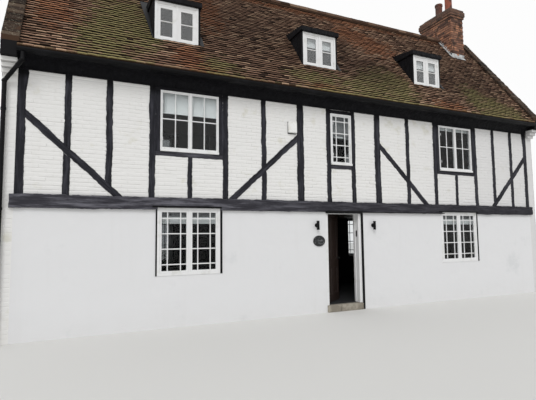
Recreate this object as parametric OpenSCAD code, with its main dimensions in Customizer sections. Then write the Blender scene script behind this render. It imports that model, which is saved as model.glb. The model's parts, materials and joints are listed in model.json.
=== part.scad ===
// Half timbered house of two storeys and an attic, the middle house of a row, between party walls.
// Millimetres. +Z up, origin at ground level under the middle of the house, street front towards -Y.
// Places along a front are measured from the inner face of its left party wall, seen from outside.

/* [Plan] */
// Clear length of the front between the party walls
front_len = 13060; // [13000:10:13400]
// Depth of the house over its front and rear walls
house_depth = 4200; // [4000:10:4500]
// Thickness of the party walls
party_t = 230; // [200:5:280]
// Thickness of the rendered walls of the ground floor
ground_wall_t = 225; // [200:5:260]

/* [Levels] */
// Height of the ground floor above the ground
floor_h = 150; // [100:5:200]
// Height of the underside of the bressummers
beam_z = 2220; // [2200:5:2320]
// Depth of the bressummers from top to bottom
beam_h = 230; // [200:5:260]
// Height of the timber frame from bressummer to wall plate
frame_h = 2400; // [2300:10:2500]
// Depth of the wall plates from top to bottom
plate_h = 150; // [120:5:180]
// Thickness of the first floor
first_floor_t = 200; // [150:5:220]
// Thickness of the attic floor
attic_floor_t = 150; // [100:5:200]

/* [Timber frame] */
// Thickness of the frame's timbers from front to back
timber_d = 150; // [130:5:180]
// How far a bressummer stands out in front of the wall
beam_out = 60; // [30:5:90]
// Width of a bressummer from front to back
beam_w = 225; // [200:5:260]
// How far the front of a bressummer laps over the party walls
beam_lap = 60; // [0:5:100]
// Width of the posts in the corners of a front
corner_post_w = 130; // [110:5:150]
// Widening of a corner post's head
jowl_w = 40; // [20:5:60]
// Height of a corner post's widened head, with its taper
jowl_h = 650; // [400:10:800]
// Width of the two posts in the middle of a front
main_post_w = 168; // [150:2:190]
// Width of the posts beside the wide windows
window_post_w = 115; // [90:5:130]
// Width of the studs
stud_w = 112; // [90:2:130]
// Width of the short studs that hold a wide window
window_stud_w = 90; // [60:5:110]
// Width of the braces
brace_w = 118; // [90:2:130]
// Distance of each main post's outer edge from the middle of the front, left and right
main_post_left = 1150; // [1050:5:1200]
main_post_right = 1147; // [1050:5:1200]
// Distance of the studs from their party wall, left and right, nearer and farther
left_stud_x = 731; // [650:1:780]
left_stud_x2 = 1424; // [1350:2:1500]
right_stud_x = 629; // [580:1:700]
right_stud_x2 = 1364; // [1300:2:1450]
// Length of the foot of the corner braces along the bressummer, left and right
corner_brace_run = 1607; // [1500:1:1650]
corner_brace_run2 = 1438; // [1380:1:1500]
// Distance between the foot of the inner right-hand brace and the window post
inner_brace_gap = 202; // [150:1:250]
// Distance of a brace's head below the wall plate
brace_drop = 930; // [850:10:1050]
// Depth of the rails under and over a window
rail_h = 90; // [70:5:110]
// How far the infill lies behind the face of the timbers
infill_back = 15; // [5:1:30]
// Thickness of the brick infill
infill_t = 102; // [90:1:115]

/* [Windows] */
// Distance of the ground-floor windows from their party wall, left and right
ground_window_left = 2358; // [2300:2:2420]
ground_window_right = 2230; // [2180:5:2300]
// Widths of the ground-floor windows over their frames, left and right
ground_window_w = 1240; // [1180:5:1280]
ground_window_w2 = 1280; // [1200:5:1320]
// Height of the underside of a ground-floor window frame
ground_window_z = 970; // [900:5:1050]
// How far a ground-floor window frame is let into the bressummer
window_let_in = 40; // [20:2:60]
// Distance of the wide first-floor windows from their party wall, left and right
first_window_left = 2400; // [2340:5:2440]
first_window_right = 2290; // [2240:5:2340]
// Width of a wide first-floor window over its frame
first_window_w = 1170; // [1120:5:1220]
// Distance of the narrow window's left edge from the middle of the front
middle_window_left = 275; // [230:5:320]
// Width of the narrow middle window over its frame
middle_window_w = 570; // [530:5:600]
// Distance of the wide first-floor windows below the wall plate
window_drop = 305; // [260:5:330]
// Distance of the narrow window below the wall plate
middle_window_drop = 345; // [300:5:360]
// Height of a first-floor window over its frame
first_window_h = 1200; // [1150:5:1260]
// Height of the sill of a first-floor window
sill_h = 45; // [35:1:55]
// How far the sill of a first-floor window stands in front of its frame
sill_out = 22; // [10:1:40]
// Width of a window frame's members
frame_t = 48; // [40:1:60]
// Width of the members of the wide first-floor frames, and of the narrow one
wide_frame_t = 22; // [18:1:40]
middle_frame_t = 32; // [24:1:50]
// Depth of a window frame from front to back
frame_d = 90; // [80:5:110]
// How far a window frame stands in front of the wall
frame_out = 12; // [5:1:20]
// Width of the mullion between two casements
mullion_w = 36; // [30:1:60]
// How far the casements lie behind the face of their frame
casement_back = 14; // [8:1:20]
// Width of a casement's stiles and rails
stile_w = 40; // [34:1:48]
// Width of the sash members in the wide first-floor frames, and in the narrow one
wide_stile_w = 22; // [18:1:40]
middle_stile_w = 30; // [24:1:40]
// Height of the foot rail of the wide first-floor sashes
wide_foot_rail = 40; // [24:1:60]
// Depth of a casement from front to back
casement_d = 40; // [36:1:45]
// Thickness of the window glass
glass_t = 6; // [4:1:8]
// Thickness of the blinds
blind_t = 5; // [3:1:8]

/* [Roof] */
// Pitch of both roof slopes
roof_pitch = 53.5; // [52:0.5:55]
// Thickness of the roof, from the underside of the rafters to the tiles
roof_t = 190; // [170:5:210]
// How far the tiles reach out beyond the wall
eaves_out = 320; // [300:5:340]
// Thickness of the tiles at the eaves
tile_lip = 30; // [20:1:40]
// Radius of the ridge tiles
ridge_r = 130; // [110:5:150]
// Distance of the ridge tiles' centre below the ridge
ridge_drop = 60; // [40:5:80]
// How far the party walls stand above the tiles
parapet_up = 25; // [15:1:40]
// Thickness of the copings on the party walls
coping_t = 50; // [40:2:70]
// How far a coping reaches over the roof tiles
coping_lap = 30; // [10:2:50]
// Courses in a kneeler
kneeler_courses = 4; // [2:1:5]
// Height of a course in a kneeler
kneeler_course_h = 75; // [65:1:80]
// How far each course of a kneeler steps out
kneeler_step = 75; // [60:1:80]
// Distance of the top of a kneeler below the wall plate's underside
kneeler_drop = 50; // [20:5:80]

/* [Eaves] */
// Distance of the foot of the coved cornice below the wall plate's underside
cove_drop = 250; // [240:5:280]
// Radius of the cove
cove_r = 190; // [170:5:200]
// How far the cornice stands out from the wall
cornice_out = 262; // [250:1:275]
// Width of a gutter
gutter_w = 98; // [92:1:110]
// Height of a gutter
gutter_h = 75; // [65:1:85]
// Distance of a gutter's rim below the tiles' edge
gutter_drop = 12; // [5:1:25]
// Thickness of a gutter's walls
gutter_t = 5; // [4:0.5:8]
// Radius of the downpipes
pipe_r = 36; // [30:1:40]
// Distance of a downpipe's outlet from the party wall
outlet_x = 90; // [70:5:150]
// Radius of a downpipe's ball elbows
elbow_r = 43; // [41:1:50]
// Angle of the swan neck from the upright
neck_angle = 50; // [40:1:60]
// Height of a downpipe's upper elbow above the foot of the kneelers
neck_rise = 155; // [130:5:165]
// Clips on a downpipe
clip_count = 3; // [2:1:5]
// Height of the lowest clip
clip_z = 500; // [300:10:700]
// Height of a clip
clip_h = 45; // [35:1:60]
// How far a clip stands out round the pipe
clip_t = 7; // [5:1:10]
// Distance between the pipe and the wall behind it
pipe_stand = 22; // [15:1:30]

/* [Dormers] */
// Distance of the outer dormer windows from their party wall, left and right
dormer_left = 2315; // [2250:5:2400]
dormer_right = 3065; // [3000:5:3150]
// Distance of the middle dormer window's left edge from the middle of the front
dormer_middle = 805; // [750:5:850]
// Width of a dormer window over its frame
dormer_w = 900; // [850:5:950]
// Height of a dormer window over its frame
dormer_h = 810; // [760:5:850]
// How far a dormer's face lies behind the wall face
dormer_y = 265; // [230:5:300]
// Thickness of a dormer's cheeks
cheek_t = 42; // [35:1:60]
// Thickness of a dormer's roof at its front edge
dormer_roof_t = 105; // [90:5:120]
// Pitch of a dormer's roof
dormer_pitch = 8; // [5:0.5:12]
// How far a dormer's roof reaches out over its window
dormer_roof_out = 60; // [40:5:90]
// How far a dormer's roof reaches out over its cheeks
dormer_roof_side = 28; // [10:2:50]

/* [Chimney] */
// Distance of the stack from the right party wall
chimney_gap = 560; // [500:5:620]
// Width of the stack along the ridge
chimney_w = 530; // [480:5:600]
// Depth of the stack across the ridge
chimney_d = 1300; // [1200:10:1400]
// Distance of the stack's front from the ridge
chimney_front = 570; // [500:5:640]
// Height of the foot of the stack's cap above the tiles at the ridge
chimney_up = 595; // [560:5:700]
// Number of the widest courses in the cap
cap_courses = 2; // [1:1:3]
// Height of a brick course in the cap
cap_course_h = 75; // [65:1:80]
// How far the widest courses of the cap stand out
cap_out = 50; // [30:2:60]
// Height of the mortar flaunching
flaunching_h = 100; // [60:5:130]
// Radius of the pots
pot_r = 112; // [100:2:125]
// How far a pot's rim stands out
rim_out = 16; // [10:1:22]
// Height of a pot's plinth, and half the height of its rim
rim_h = 45; // [35:1:60]
// Wall of the pots
pot_wall = 20; // [15:1:25]
// Height of the rear pot
short_pot_h = 420; // [350:10:500]
// Height of the front pot
tall_pot_h = 750; // [600:10:900]
// Distance of the front pot from the stack's front
pot_y = 300; // [270:5:340]
// Distance between the pots
pot_pitch = 410; // [380:5:450]
// Height of the lead flashing above the tiles
flashing_h = 150; // [100:5:200]
// Thickness of the lead flashing
flashing_t = 6; // [4:1:8]

/* [Door] */
// Distance of the door frame's left edge from the middle of the front
door_left = 450; // [420:5:480]
// Width of the door frame
door_frame_w = 950; // [900:5:980]
// Width of the frame's jambs
jamb_w = 60; // [50:1:70]
// Height of the frame's head
door_head_h = 25; // [20:1:60]
// How far the frame lies behind the wall face
door_frame_back = 12; // [0:1:30]
// How far the door stops stand out from the jambs
stop_w = 12; // [10:1:20]
// Width of the door stops from front to back
stop_d = 35; // [25:1:45]
// Thickness of the door leaf
leaf_t = 44; // [40:1:50]
// Clearance between the closed leaf and the jamb it hangs on
leaf_side = 6; // [5:0.5:8]
// Clearance round the other edges of the closed leaf
leaf_gap = 8; // [7:0.5:10]
// Clearance between the closed leaf and the stops
stop_gap = 5; // [5:0.5:8]
// Angle at which the door stands open
door_open = 36; // [20:1:60]
// Width of the leaf's stiles and rails round its panels
panel_margin = 105; // [90:5:120]
// Depth of the leaf's sunk panels
panel_deep = 9; // [5:1:14]
// Height of the leaf's foot rail
foot_rail_h = 180; // [150:5:220]
// Height of the lower edge of the leaf's lock rail
lock_rail_z = 780; // [700:10:850]
// Height of the leaf's lock rail
lock_rail_h = 190; // [150:5:220]
// Distance of the hinge pins behind the leaf's inner face
pin_back = 15; // [14:1:20]
// Radius of the hinge pins
pin_r = 5; // [4:0.5:6]
// Clearance between a hinge pin and its eye
pin_gap = 0.1; // [0.05:0.05:0.2]
// Wall of a hinge eye
eye_wall = 4; // [3:0.5:5]
// Height of the shoulder under a hinge eye
shoulder_h = 26; // [20:1:40]
// How far a hinge pin stands out over its eye
pin_over = 3; // [2:1:6]
// Height of a hinge eye
eye_h = 28; // [20:1:40]
// Thickness of the hinge straps
strap_t = 6; // [4:1:8]
// Length of the hinge straps
strap_len = 420; // [300:10:600]
// Height of the lower and the upper hinge above the floor
hinge_low = 260; // [200:10:400]
hinge_high = 1720; // [1600:10:1800]
// Height of the door knob above the floor
knob_z = 1000; // [900:10:1100]
// Radius of the door knob
knob_r = 27; // [22:1:32]
// Projection of the door knob
knob_out = 52; // [45:1:60]
// Projection of the stone doorstep in front of the wall
step_out = 40; // [0:5:55]

/* [Fittings] */
// Width of the black strips beside the openings
strip_w = 45; // [35:1:60]
// Width of the slim strip on the left of the left window
slim_strip_w = 28; // [20:1:45]
// Thickness of the black strips
strip_t = 14; // [8:1:20]
// Distance of the wall lights' axes from the door frame, left and right
light_left = 245; // [220:5:330]
light_right = 345; // [260:5:380]
// Distance of the wall lights' middle below the bressummer
light_drop = 300; // [230:5:350]
// Radius of a wall light
light_r = 31; // [25:1:40]
// Height of a wall light
light_h = 200; // [150:5:240]
// Radius of a wall light's back plate
light_plate_r = 45; // [35:1:55]
// Thickness of a wall light's back plate
light_plate_t = 10; // [6:1:14]
// Distance of a wall light's axis from the wall
light_out = 70; // [60:2:90]
// Distance of the oval plaque's middle from the door frame
plaque_left = 190; // [180:2:220]
// Height of the oval plaque's middle
plaque_z = 1574; // [1500:2:1620]
// Width of the oval plaque
plaque_w = 300; // [260:5:320]
// Height of the oval plaque
plaque_h = 240; // [200:5:260]
// Thickness of the oval plaque
plaque_t = 14; // [10:1:20]
// Width of the plaque's raised rim
plaque_rim = 12; // [8:1:20]
// Width of the alarm box
alarm_w = 205; // [160:5:220]
// Height of the alarm box
alarm_h = 270; // [200:5:300]
// Projection of the alarm box
alarm_d = 75; // [50:5:90]
// Width of the chamfers on the alarm box's front edges
alarm_bevel = 22; // [10:1:30]
// Distance of the alarm box from the main post
alarm_gap = 20; // [5:1:40]
// Distance of the alarm box's foot above the heads of the braces
alarm_rise = 5; // [5:5:100]

/* [Hidden] */
$fn = 48;

// Colours
oak_black = "#1d1c1f";
brick_white = "#dcdcd8";
render_white = "#e4e4e2";
tile_brown = "#6e4a3a";
brick_brown = "#7d5541";
joinery_white = "#f2f2f0";
door_brown = "#2c211d";
lead_grey = "#8b8d90";

// Levels that follow from the sizes above
beam_top = beam_z + beam_h;
plate_z = beam_top + frame_h;
plate_top = plate_z + plate_h;
slope = tan(roof_pitch);
roof_v = roof_t / cos(roof_pitch);
ridge_y = house_depth / 2;
cove_z = plate_z - cove_drop;
first_window_z = plate_z - window_drop - first_window_h;
middle_window_z = plate_z - middle_window_drop - first_window_h;
brace_rise = frame_h - brace_drop;
ground_window_h = beam_z + window_let_in - ground_window_z;
middle = front_len / 2;
chimney_x = front_len - chimney_gap - chimney_w;
door_x = middle - door_left;
door_x2 = door_x + door_frame_w;
main_post_x = middle - main_post_left;
main_post_x2 = middle + main_post_right - main_post_w;
// How far a cut runs past a face, and the bed between pieces that lie on a slope
cut = 1;
bed = 0.3;

// Height of the tiles, and of the rafters' underside, at a distance behind the wall face
function tile_z(y) = plate_top + roof_v + y * slope;
function rafter_z(y) = plate_top + y * slope;
function rafter_y(z) = (z - plate_top) / slope;
chimney_y = ridge_y - chimney_front;
chimney_h = tile_z(ridge_y) + chimney_up;

// The street front, the garden side, and both
module at_front() { translate([-front_len / 2, -house_depth / 2, 0]) children(); }
module at_rear() { rotate([0, 0, 180]) at_front() children(); }
module both_sides() { at_front() children(); at_rear() children(); }

// An outline drawn behind the wall face (y) and upwards (z), drawn out along the front
module along_front(x, len) {
    translate([x, 0, 0]) rotate([90, 0, 90]) linear_extrude(len) children();
}
// A block from x, y, z with its three sizes
module block(x, y, z, w, d, h) { translate([x, y, z]) cube([w, d, h]); }

// Windows of a front as [x, width, underside, height, lights, frame's sides and head, frame's foot,
// stiles and head rail of a light, foot rail of a light]
ground_window_x = front_len - ground_window_right - ground_window_w2;
ground_windows = [
    [ground_window_left, ground_window_w, ground_window_z, ground_window_h, 2, frame_t, frame_t, stile_w, stile_w],
    [ground_window_x, ground_window_w2, ground_window_z, ground_window_h, 2, frame_t, frame_t, stile_w, stile_w]
];
wide_windows = [for (x = [first_window_left, front_len - first_window_right - first_window_w])
    [x, first_window_w, first_window_z, first_window_h, 2, wide_frame_t, sill_h, wide_stile_w, wide_foot_rail]];
middle_window = [middle - middle_window_left, middle_window_w, middle_window_z, first_window_h, 1,
                 middle_frame_t, sill_h, middle_stile_w, middle_stile_w];
first_windows = [wide_windows[0], middle_window, wide_windows[1]];
wall_windows = concat(ground_windows, first_windows);
dormer_xs = [dormer_left, middle - dormer_middle, front_len - dormer_right - dormer_w];
dormer_z = tile_z(dormer_y);
dormer_top = dormer_z + dormer_h;
dormer_windows = [for (x = dormer_xs)
    [x, dormer_w, dormer_z, dormer_h, 2, frame_t, frame_t, stile_w, stile_w]];

// Masonry and floors

module ground_floor() color("#8a8378") difference() {
    at_front() block(0, ground_wall_t, 0, front_len, house_depth - 2 * ground_wall_t, floor_h);
    chimney_shaft();
}

module doorstep() color("#9a958c") at_front()
    block(door_x, -step_out, 0, door_frame_w, step_out + ground_wall_t, floor_h);

// A rendered wall from x0 to x1 with the holes of the ground-floor windows
module rendered_wall(x0, x1) color(render_white) difference() {
    block(x0, 0, 0, x1 - x0, ground_wall_t, beam_z);
    for (w = ground_windows)
        block(w[0], -cut, w[2], w[1], ground_wall_t + 2 * cut, w[3]);
}
module front_wall_left() at_front() rendered_wall(0, door_x);
module front_wall_right() at_front() rendered_wall(door_x2, front_len);
module rear_wall() at_rear() rendered_wall(0, front_len);

// Half of a party wall's outline: wall face, stepped kneeler and raked top
kneeler_out = kneeler_courses * kneeler_step;
kneeler_top = plate_z - kneeler_drop;
kneeler_foot = kneeler_top - kneeler_courses * kneeler_course_h;
function kneeler_points() = [for (i = [0:kneeler_courses - 1]) each [
    [-i * kneeler_step, kneeler_foot + i * kneeler_course_h],
    [-(i + 1) * kneeler_step, kneeler_foot + i * kneeler_course_h]
]];
parapet_v = parapet_up / cos(roof_pitch);
function mirrored(points) = [for (i = [len(points) - 1:-1:0]) [house_depth - points[i][0], points[i][1]]];
half_party = concat([[0, 0]], kneeler_points(), [[-kneeler_out, tile_z(-kneeler_out) + parapet_v]]);
module party_wall(x) color(brick_white) at_front() along_front(x, party_t)
    polygon(concat(half_party, [[ridge_y, tile_z(ridge_y) + parapet_v]], mirrored(half_party)));
module party_wall_left() party_wall(-party_t);
module party_wall_right() party_wall(front_len);

// A coping follows both rakes of its party wall
coping_v = coping_t / cos(roof_pitch);
module coping(x) along_front(x, party_t + coping_lap) polygon([
    [-kneeler_out, tile_z(-kneeler_out) + parapet_v],
    [ridge_y, tile_z(ridge_y) + parapet_v],
    [house_depth + kneeler_out, tile_z(-kneeler_out) + parapet_v],
    [house_depth + kneeler_out, tile_z(-kneeler_out) + parapet_v + coping_v],
    [ridge_y, tile_z(ridge_y) + parapet_v + coping_v],
    [-kneeler_out, tile_z(-kneeler_out) + parapet_v + coping_v]
]);
module parapet_copings() color(tile_brown) at_front() {
    coping(-party_t);
    coping(front_len - coping_lap);
}

module first_floor() color("#6b5a45") difference() {
    at_front() block(0, beam_w - beam_out, beam_top - first_floor_t, front_len,
                     house_depth - 2 * (beam_w - beam_out), first_floor_t);
    chimney_shaft();
}
module attic_floor() color("#6b5a45") difference() {
    at_front() block(0, timber_d, plate_z - attic_floor_t, front_len,
                     house_depth - 2 * timber_d, attic_floor_t);
    chimney_shaft();
}

// Timber frame

module bressummers() color(oak_black) both_sides() difference() {
    union() {
        block(0, -beam_out, beam_z, front_len, beam_w, beam_h);
        block(-beam_lap, -beam_out, beam_z, front_len + 2 * beam_lap, beam_out, beam_h);
    }
    for (w = ground_windows)
        block(w[0], -beam_out - cut, beam_z - cut,
              w[1], beam_out + cut + frame_d - frame_out, window_let_in + cut);
}
module wall_plates() color(oak_black) both_sides()
    block(0, 0, plate_z, front_len, timber_d, plate_h);

// An upright timber from one height to another
module upright(x, w, z0, z1) { block(x, 0, z0, w, timber_d, z1 - z0); }

corner_head_z = plate_z - jowl_h;
jowl_taper = jowl_h / 2;
module corner_post() translate([0, timber_d, 0]) rotate([90, 0, 0]) linear_extrude(timber_d) polygon([
    [0, beam_top], [corner_post_w, beam_top], [corner_post_w, corner_head_z],
    [corner_post_w + jowl_w, corner_head_z + jowl_taper], [corner_post_w + jowl_w, plate_z], [0, plate_z]
]);
// Faces of the window posts that look towards the corners and towards the main posts
window_edge = window_stud_w + window_post_w;
function post_left(w) = w[0] - window_edge;
function post_right(w) = w[0] + w[1] + window_edge;
module front_posts() {
    corner_post();
    translate([front_len, timber_d, 0]) rotate([0, 0, 180]) corner_post();
    for (x = [main_post_x, main_post_x2]) upright(x, main_post_w, beam_top, plate_z);
    for (w = wide_windows) {
        upright(post_left(w), window_post_w, beam_top, plate_z);
        upright(post_right(w) - window_post_w, window_post_w, beam_top, plate_z);
    }
}
module posts() color(oak_black) both_sides() front_posts();

// Braces as [x of the head, x of the foot's outer edge]
main_face = main_post_x2 + main_post_w;
braces_at = [
    [corner_post_w, corner_post_w + corner_brace_run],
    [main_post_x, post_right(wide_windows[0])],
    [main_face, post_left(wide_windows[1]) - inner_brace_gap],
    [front_len - corner_post_w, front_len - corner_post_w - corner_brace_run2]
];
// A brace is cut plumb at the post and level at the bressummer
module brace(b, below = false) {
    run = abs(b[1] - b[0]);
    dir = sign(b[1] - b[0]);
    rake = atan2(brace_rise, run);
    head = [b[0], beam_top + brace_rise];
    foot = [b[1], beam_top];
    points = below
        ? [head, foot, [b[0], beam_top]]
        : [head, foot, [b[1] - dir * brace_w / sin(rake), beam_top],
           [b[0], beam_top + brace_rise - brace_w / cos(rake)]];
    translate([0, timber_d, 0]) rotate([90, 0, 0]) linear_extrude(timber_d) polygon(points);
}
module front_braces() { for (b = braces_at) brace(b); }
module braces() color(oak_black) both_sides() front_braces();

// Studs as [x, brace]: those that a brace crosses, and those that stand on a brace
crossed_studs = [
    [left_stud_x, 0],
    [(post_right(wide_windows[0]) + main_post_x - stud_w) / 2, 1],
    [(main_face + post_left(wide_windows[1]) - stud_w) / 2, 2],
    [front_len - right_stud_x - stud_w, 3]
];
standing_studs = [[left_stud_x2, 0], [front_len - right_stud_x2 - stud_w, 3]];
module front_studs() {
    for (s = crossed_studs) difference() {
        upright(s[0], stud_w, beam_top, plate_z);
        brace(braces_at[s[1]]);
    }
    for (s = standing_studs) difference() {
        upright(s[0], stud_w, beam_top, plate_z);
        brace(braces_at[s[1]], below = true);
    }
    upright(middle_window[0] - stud_w, stud_w, beam_top, plate_z);
    upright(middle_window[0] + middle_window_w, stud_w, beam_top, plate_z);
    for (w = wide_windows) {
        upright(w[0] - window_stud_w, window_stud_w, w[2], w[2] + w[3]);
        upright(w[0] + w[1], window_stud_w, w[2], w[2] + w[3]);
        upright(w[0] + (w[1] - window_stud_w) / 2, window_stud_w, beam_top, w[2] - rail_h);
    }
}
module studs() color(oak_black) both_sides() front_studs();

// Rails run under and over each window, between the timbers beside it
function rail_x(w) = w[4] == 2 ? w[0] - window_stud_w : w[0];
function rail_w(w) = w[4] == 2 ? w[1] + 2 * window_stud_w : w[1];
module front_rails() {
    for (w = first_windows) {
        block(rail_x(w), 0, w[2] - rail_h, rail_w(w), timber_d, rail_h);
        block(rail_x(w), 0, w[2] + w[3], rail_w(w), timber_d, rail_h);
    }
}
module window_rails() color(oak_black) both_sides() front_rails();

// Brick panels fill what the timbers and windows leave of the frame
module infill() color(brick_white) difference() {
    block(0, infill_back, beam_top, front_len, infill_t, frame_h);
    front_posts();
    front_studs();
    front_braces();
    front_rails();
    for (s = standing_studs) intersection() {
        upright(s[0], stud_w, beam_top, plate_z);
        brace(braces_at[s[1]]);
    }
    for (w = first_windows) block(w[0], -cut, w[2], w[1], timber_d + 2 * cut, w[3]);
}
module front_infill() at_front() infill();
module rear_infill() at_rear() infill();

// Roof

// One slope with its thin tiled lip and the rafters' heels on the wall plate
lip_v = tile_lip * cos(roof_pitch);
lip_y = tile_lip * sin(roof_pitch);
module roof_slope() along_front(0, front_len) polygon([
    [-eaves_out, tile_z(-eaves_out)],
    [ridge_y, tile_z(ridge_y)],
    [ridge_y, rafter_z(ridge_y)],
    [timber_d, rafter_z(timber_d)],
    [timber_d, plate_top],
    [0, plate_top],
    [-cornice_out, cornice_top],
    [-eaves_out + lip_y, tile_z(-eaves_out) - lip_v]
]);
cornice_top = tile_z(-eaves_out) - lip_v + (eaves_out - lip_y - cornice_out) * slope;
module dormer_holes() at_front() {
    for (x = dormer_xs)
        block(x - cheek_t, dormer_y, dormer_z, dormer_w + 2 * cheek_t,
              rafter_y(dormer_top) - dormer_y + cut, dormer_h);
}
module roof_front() color(tile_brown) difference() {
    at_front() roof_slope();
    dormer_holes();
    chimney_shaft();
}
module roof_rear() color(tile_brown) difference() {
    at_rear() roof_slope();
    chimney_shaft();
}

// Ridge tiles bedded on both slopes, up to the stack and beyond it
module ridge_outline() difference() {
    translate([ridge_y, tile_z(ridge_y) - ridge_drop]) circle(r = ridge_r);
    polygon([
        [ridge_y, tile_z(ridge_y) + bed],
        [ridge_y + 2 * ridge_r, tile_z(ridge_y - 2 * ridge_r) + bed],
        [ridge_y - 2 * ridge_r, tile_z(ridge_y - 2 * ridge_r) + bed]
    ]);
}
module ridge_tiles() color(tile_brown) at_front() {
    along_front(coping_lap, chimney_x - coping_lap) ridge_outline();
    along_front(chimney_x + chimney_w, chimney_gap - coping_lap) ridge_outline();
}

// The coved cornice closes the eaves between wall face and gutter board
module eaves_cornices() color(oak_black) both_sides() along_front(0, front_len) difference() {
    polygon([
        [0, cove_z], [0, plate_top], [-cornice_out, cornice_top],
        [-cornice_out, cove_z + cove_r], [-cove_r, cove_z + cove_r], [-cove_r, cove_z]
    ]);
    translate([-cove_r, cove_z]) circle(r = cove_r);
}

// A gutter has a flat back, a flat bottom and a rounded front
gutter_top = tile_z(-eaves_out) - lip_v - gutter_drop;
gutter_r = gutter_h * 0.8;
module gutter_outline(t, open_top = 0) {
    w = gutter_w - 2 * t;
    translate([-cornice_out - gutter_w + t, gutter_top - gutter_h + t]) difference() {
        square([w, gutter_h - t + open_top]);
        difference() {
            translate([-cut, -cut]) square([gutter_r + cut, gutter_r + cut]);
            translate([gutter_r, gutter_r]) circle(r = gutter_r);
        }
    }
}
module gutters() color(oak_black) both_sides() difference() {
    along_front(0, front_len) gutter_outline(0);
    along_front(gutter_t, front_len - 2 * gutter_t) gutter_outline(gutter_t, cut);
}

// A downpipe leaves the gutter near its left end, bends back under the kneeler and follows the party wall
pipe_x = -party_t + pipe_r + clip_t;
pipe_y = -pipe_r - pipe_stand;
outlet_y = -cornice_out - gutter_w / 2;
outlet_z = gutter_top - gutter_h;
neck_run = norm([outlet_x - pipe_x, pipe_y - outlet_y]);
neck_turn = atan2(pipe_y - outlet_y, pipe_x - outlet_x);
neck_drop = neck_run / tan(neck_angle);
outlet_drop = outlet_z - kneeler_foot - neck_rise;
pipe_top = kneeler_foot + neck_rise - neck_drop;
clip_pitch = (pipe_top - 2 * clip_z) / (clip_count - 1);
// The swan neck slants between two ball elbows
module swan_neck() {
    translate([0, 0, -outlet_drop]) {
        cylinder(h = outlet_drop, r = pipe_r);
        sphere(r = elbow_r);
        rotate([0, 180 - neck_angle, 0]) cylinder(h = norm([neck_run, neck_drop]), r = pipe_r);
        translate([neck_run, 0, -neck_drop]) sphere(r = elbow_r);
    }
}
module downpipe() {
    translate([outlet_x, outlet_y, outlet_z]) rotate([0, 0, neck_turn]) swan_neck();
    translate([pipe_x, pipe_y, 0]) cylinder(h = pipe_top, r = pipe_r);
    for (i = [0:clip_count - 1]) {
        z = clip_z + i * clip_pitch;
        translate([pipe_x, pipe_y, z]) cylinder(h = clip_h, r = pipe_r + clip_t);
        block(pipe_x - clip_t * 2, pipe_y, z, clip_t * 4, -pipe_y, clip_h);
    }
}
module downpipes() color(oak_black) both_sides() downpipe();

// Dormers

// A cheek stands in the roof's hole, from the tiles down to the underside of the rafters
module cheek(x) along_front(x, cheek_t) polygon([
    [dormer_y, dormer_z], [dormer_y, dormer_top],
    [rafter_y(dormer_top), dormer_top], [rafter_y(dormer_z), dormer_z]
]);
module dormer_cheeks() color(oak_black) at_front() for (x = dormer_xs) {
    cheek(x - cheek_t);
    cheek(x + dormer_w);
}
// A dormer roof runs back from its front edge until it meets the tiles
dormer_front = dormer_y - dormer_roof_out;
dormer_roof_top = dormer_top + dormer_roof_t;
dormer_slope = tan(dormer_pitch);
dormer_back_y = (dormer_roof_top - dormer_front * dormer_slope - tile_z(0)) / (slope - dormer_slope);
module dormer_roofs() color(oak_black) at_front() for (x = dormer_xs)
    along_front(x - cheek_t - dormer_roof_side, dormer_w + 2 * (cheek_t + dormer_roof_side)) polygon([
        [dormer_front, dormer_top], [dormer_front, dormer_roof_top],
        [dormer_back_y, tile_z(dormer_back_y)], [(dormer_top - tile_z(0)) / slope, dormer_top]
    ]);

// Chimney

module chimney_shaft(out = 0, z0 = 0, z1 = chimney_h) at_front()
    block(chimney_x - out, chimney_y - out, z0, chimney_w + 2 * out, chimney_d + 2 * out, z1 - z0);
module chimney_stack() color(brick_brown) chimney_shaft();

// Brick courses of the cap, counted from its foot, and how far they stand out
module cap_band(out, first, count)
    chimney_shaft(out, chimney_h + first * cap_course_h, chimney_h + (first + count) * cap_course_h);
flaunching_z = chimney_h + (2 + cap_courses) * cap_course_h;
pot_foot = flaunching_z + flaunching_h;
flue_r = pot_r - pot_wall;
// The flaunching slopes to a flat top on all four sides
module flaunching() at_front() intersection() {
    along_front(chimney_x, chimney_w) polygon([
        [chimney_y, flaunching_z], [chimney_y + flaunching_h, pot_foot],
        [chimney_y + chimney_d - flaunching_h, pot_foot], [chimney_y + chimney_d, flaunching_z]
    ]);
    translate([0, chimney_y + chimney_d, 0]) rotate([90, 0, 0]) linear_extrude(chimney_d) polygon([
        [chimney_x, flaunching_z], [chimney_x + flaunching_h, pot_foot],
        [chimney_x + chimney_w - flaunching_h, pot_foot], [chimney_x + chimney_w, flaunching_z]
    ]);
}
module chimney_cap() color(brick_brown) {
    cap_band(cap_out / 2, 0, 1);
    cap_band(cap_out, 1, cap_courses);
    cap_band(cap_out / 2, 1 + cap_courses, 1);
    flaunching();
}

// A pot is a turned tube on a plinth, with a rim under its mouth
module pot(y, h) at_front() translate([chimney_x + chimney_w / 2, chimney_y + y, pot_foot]) rotate_extrude()
    difference() {
        polygon([
            [0, 0], [pot_r + rim_out / 2, 0], [pot_r + rim_out / 2, rim_h], [pot_r, rim_h + rim_out],
            [pot_r, h - 2 * rim_h], [pot_r + rim_out, h - 2 * rim_h + rim_out],
            [pot_r + rim_out, h - rim_out], [pot_r + rim_out / 2, h], [0, h]
        ]);
        translate([-cut, rim_h]) square([flue_r + cut, h]);
    }
module chimney_pots() color("#8a4f3a") {
    pot(pot_y, tall_pot_h);
    pot(pot_y + pot_pitch, short_pot_h);
}

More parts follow.
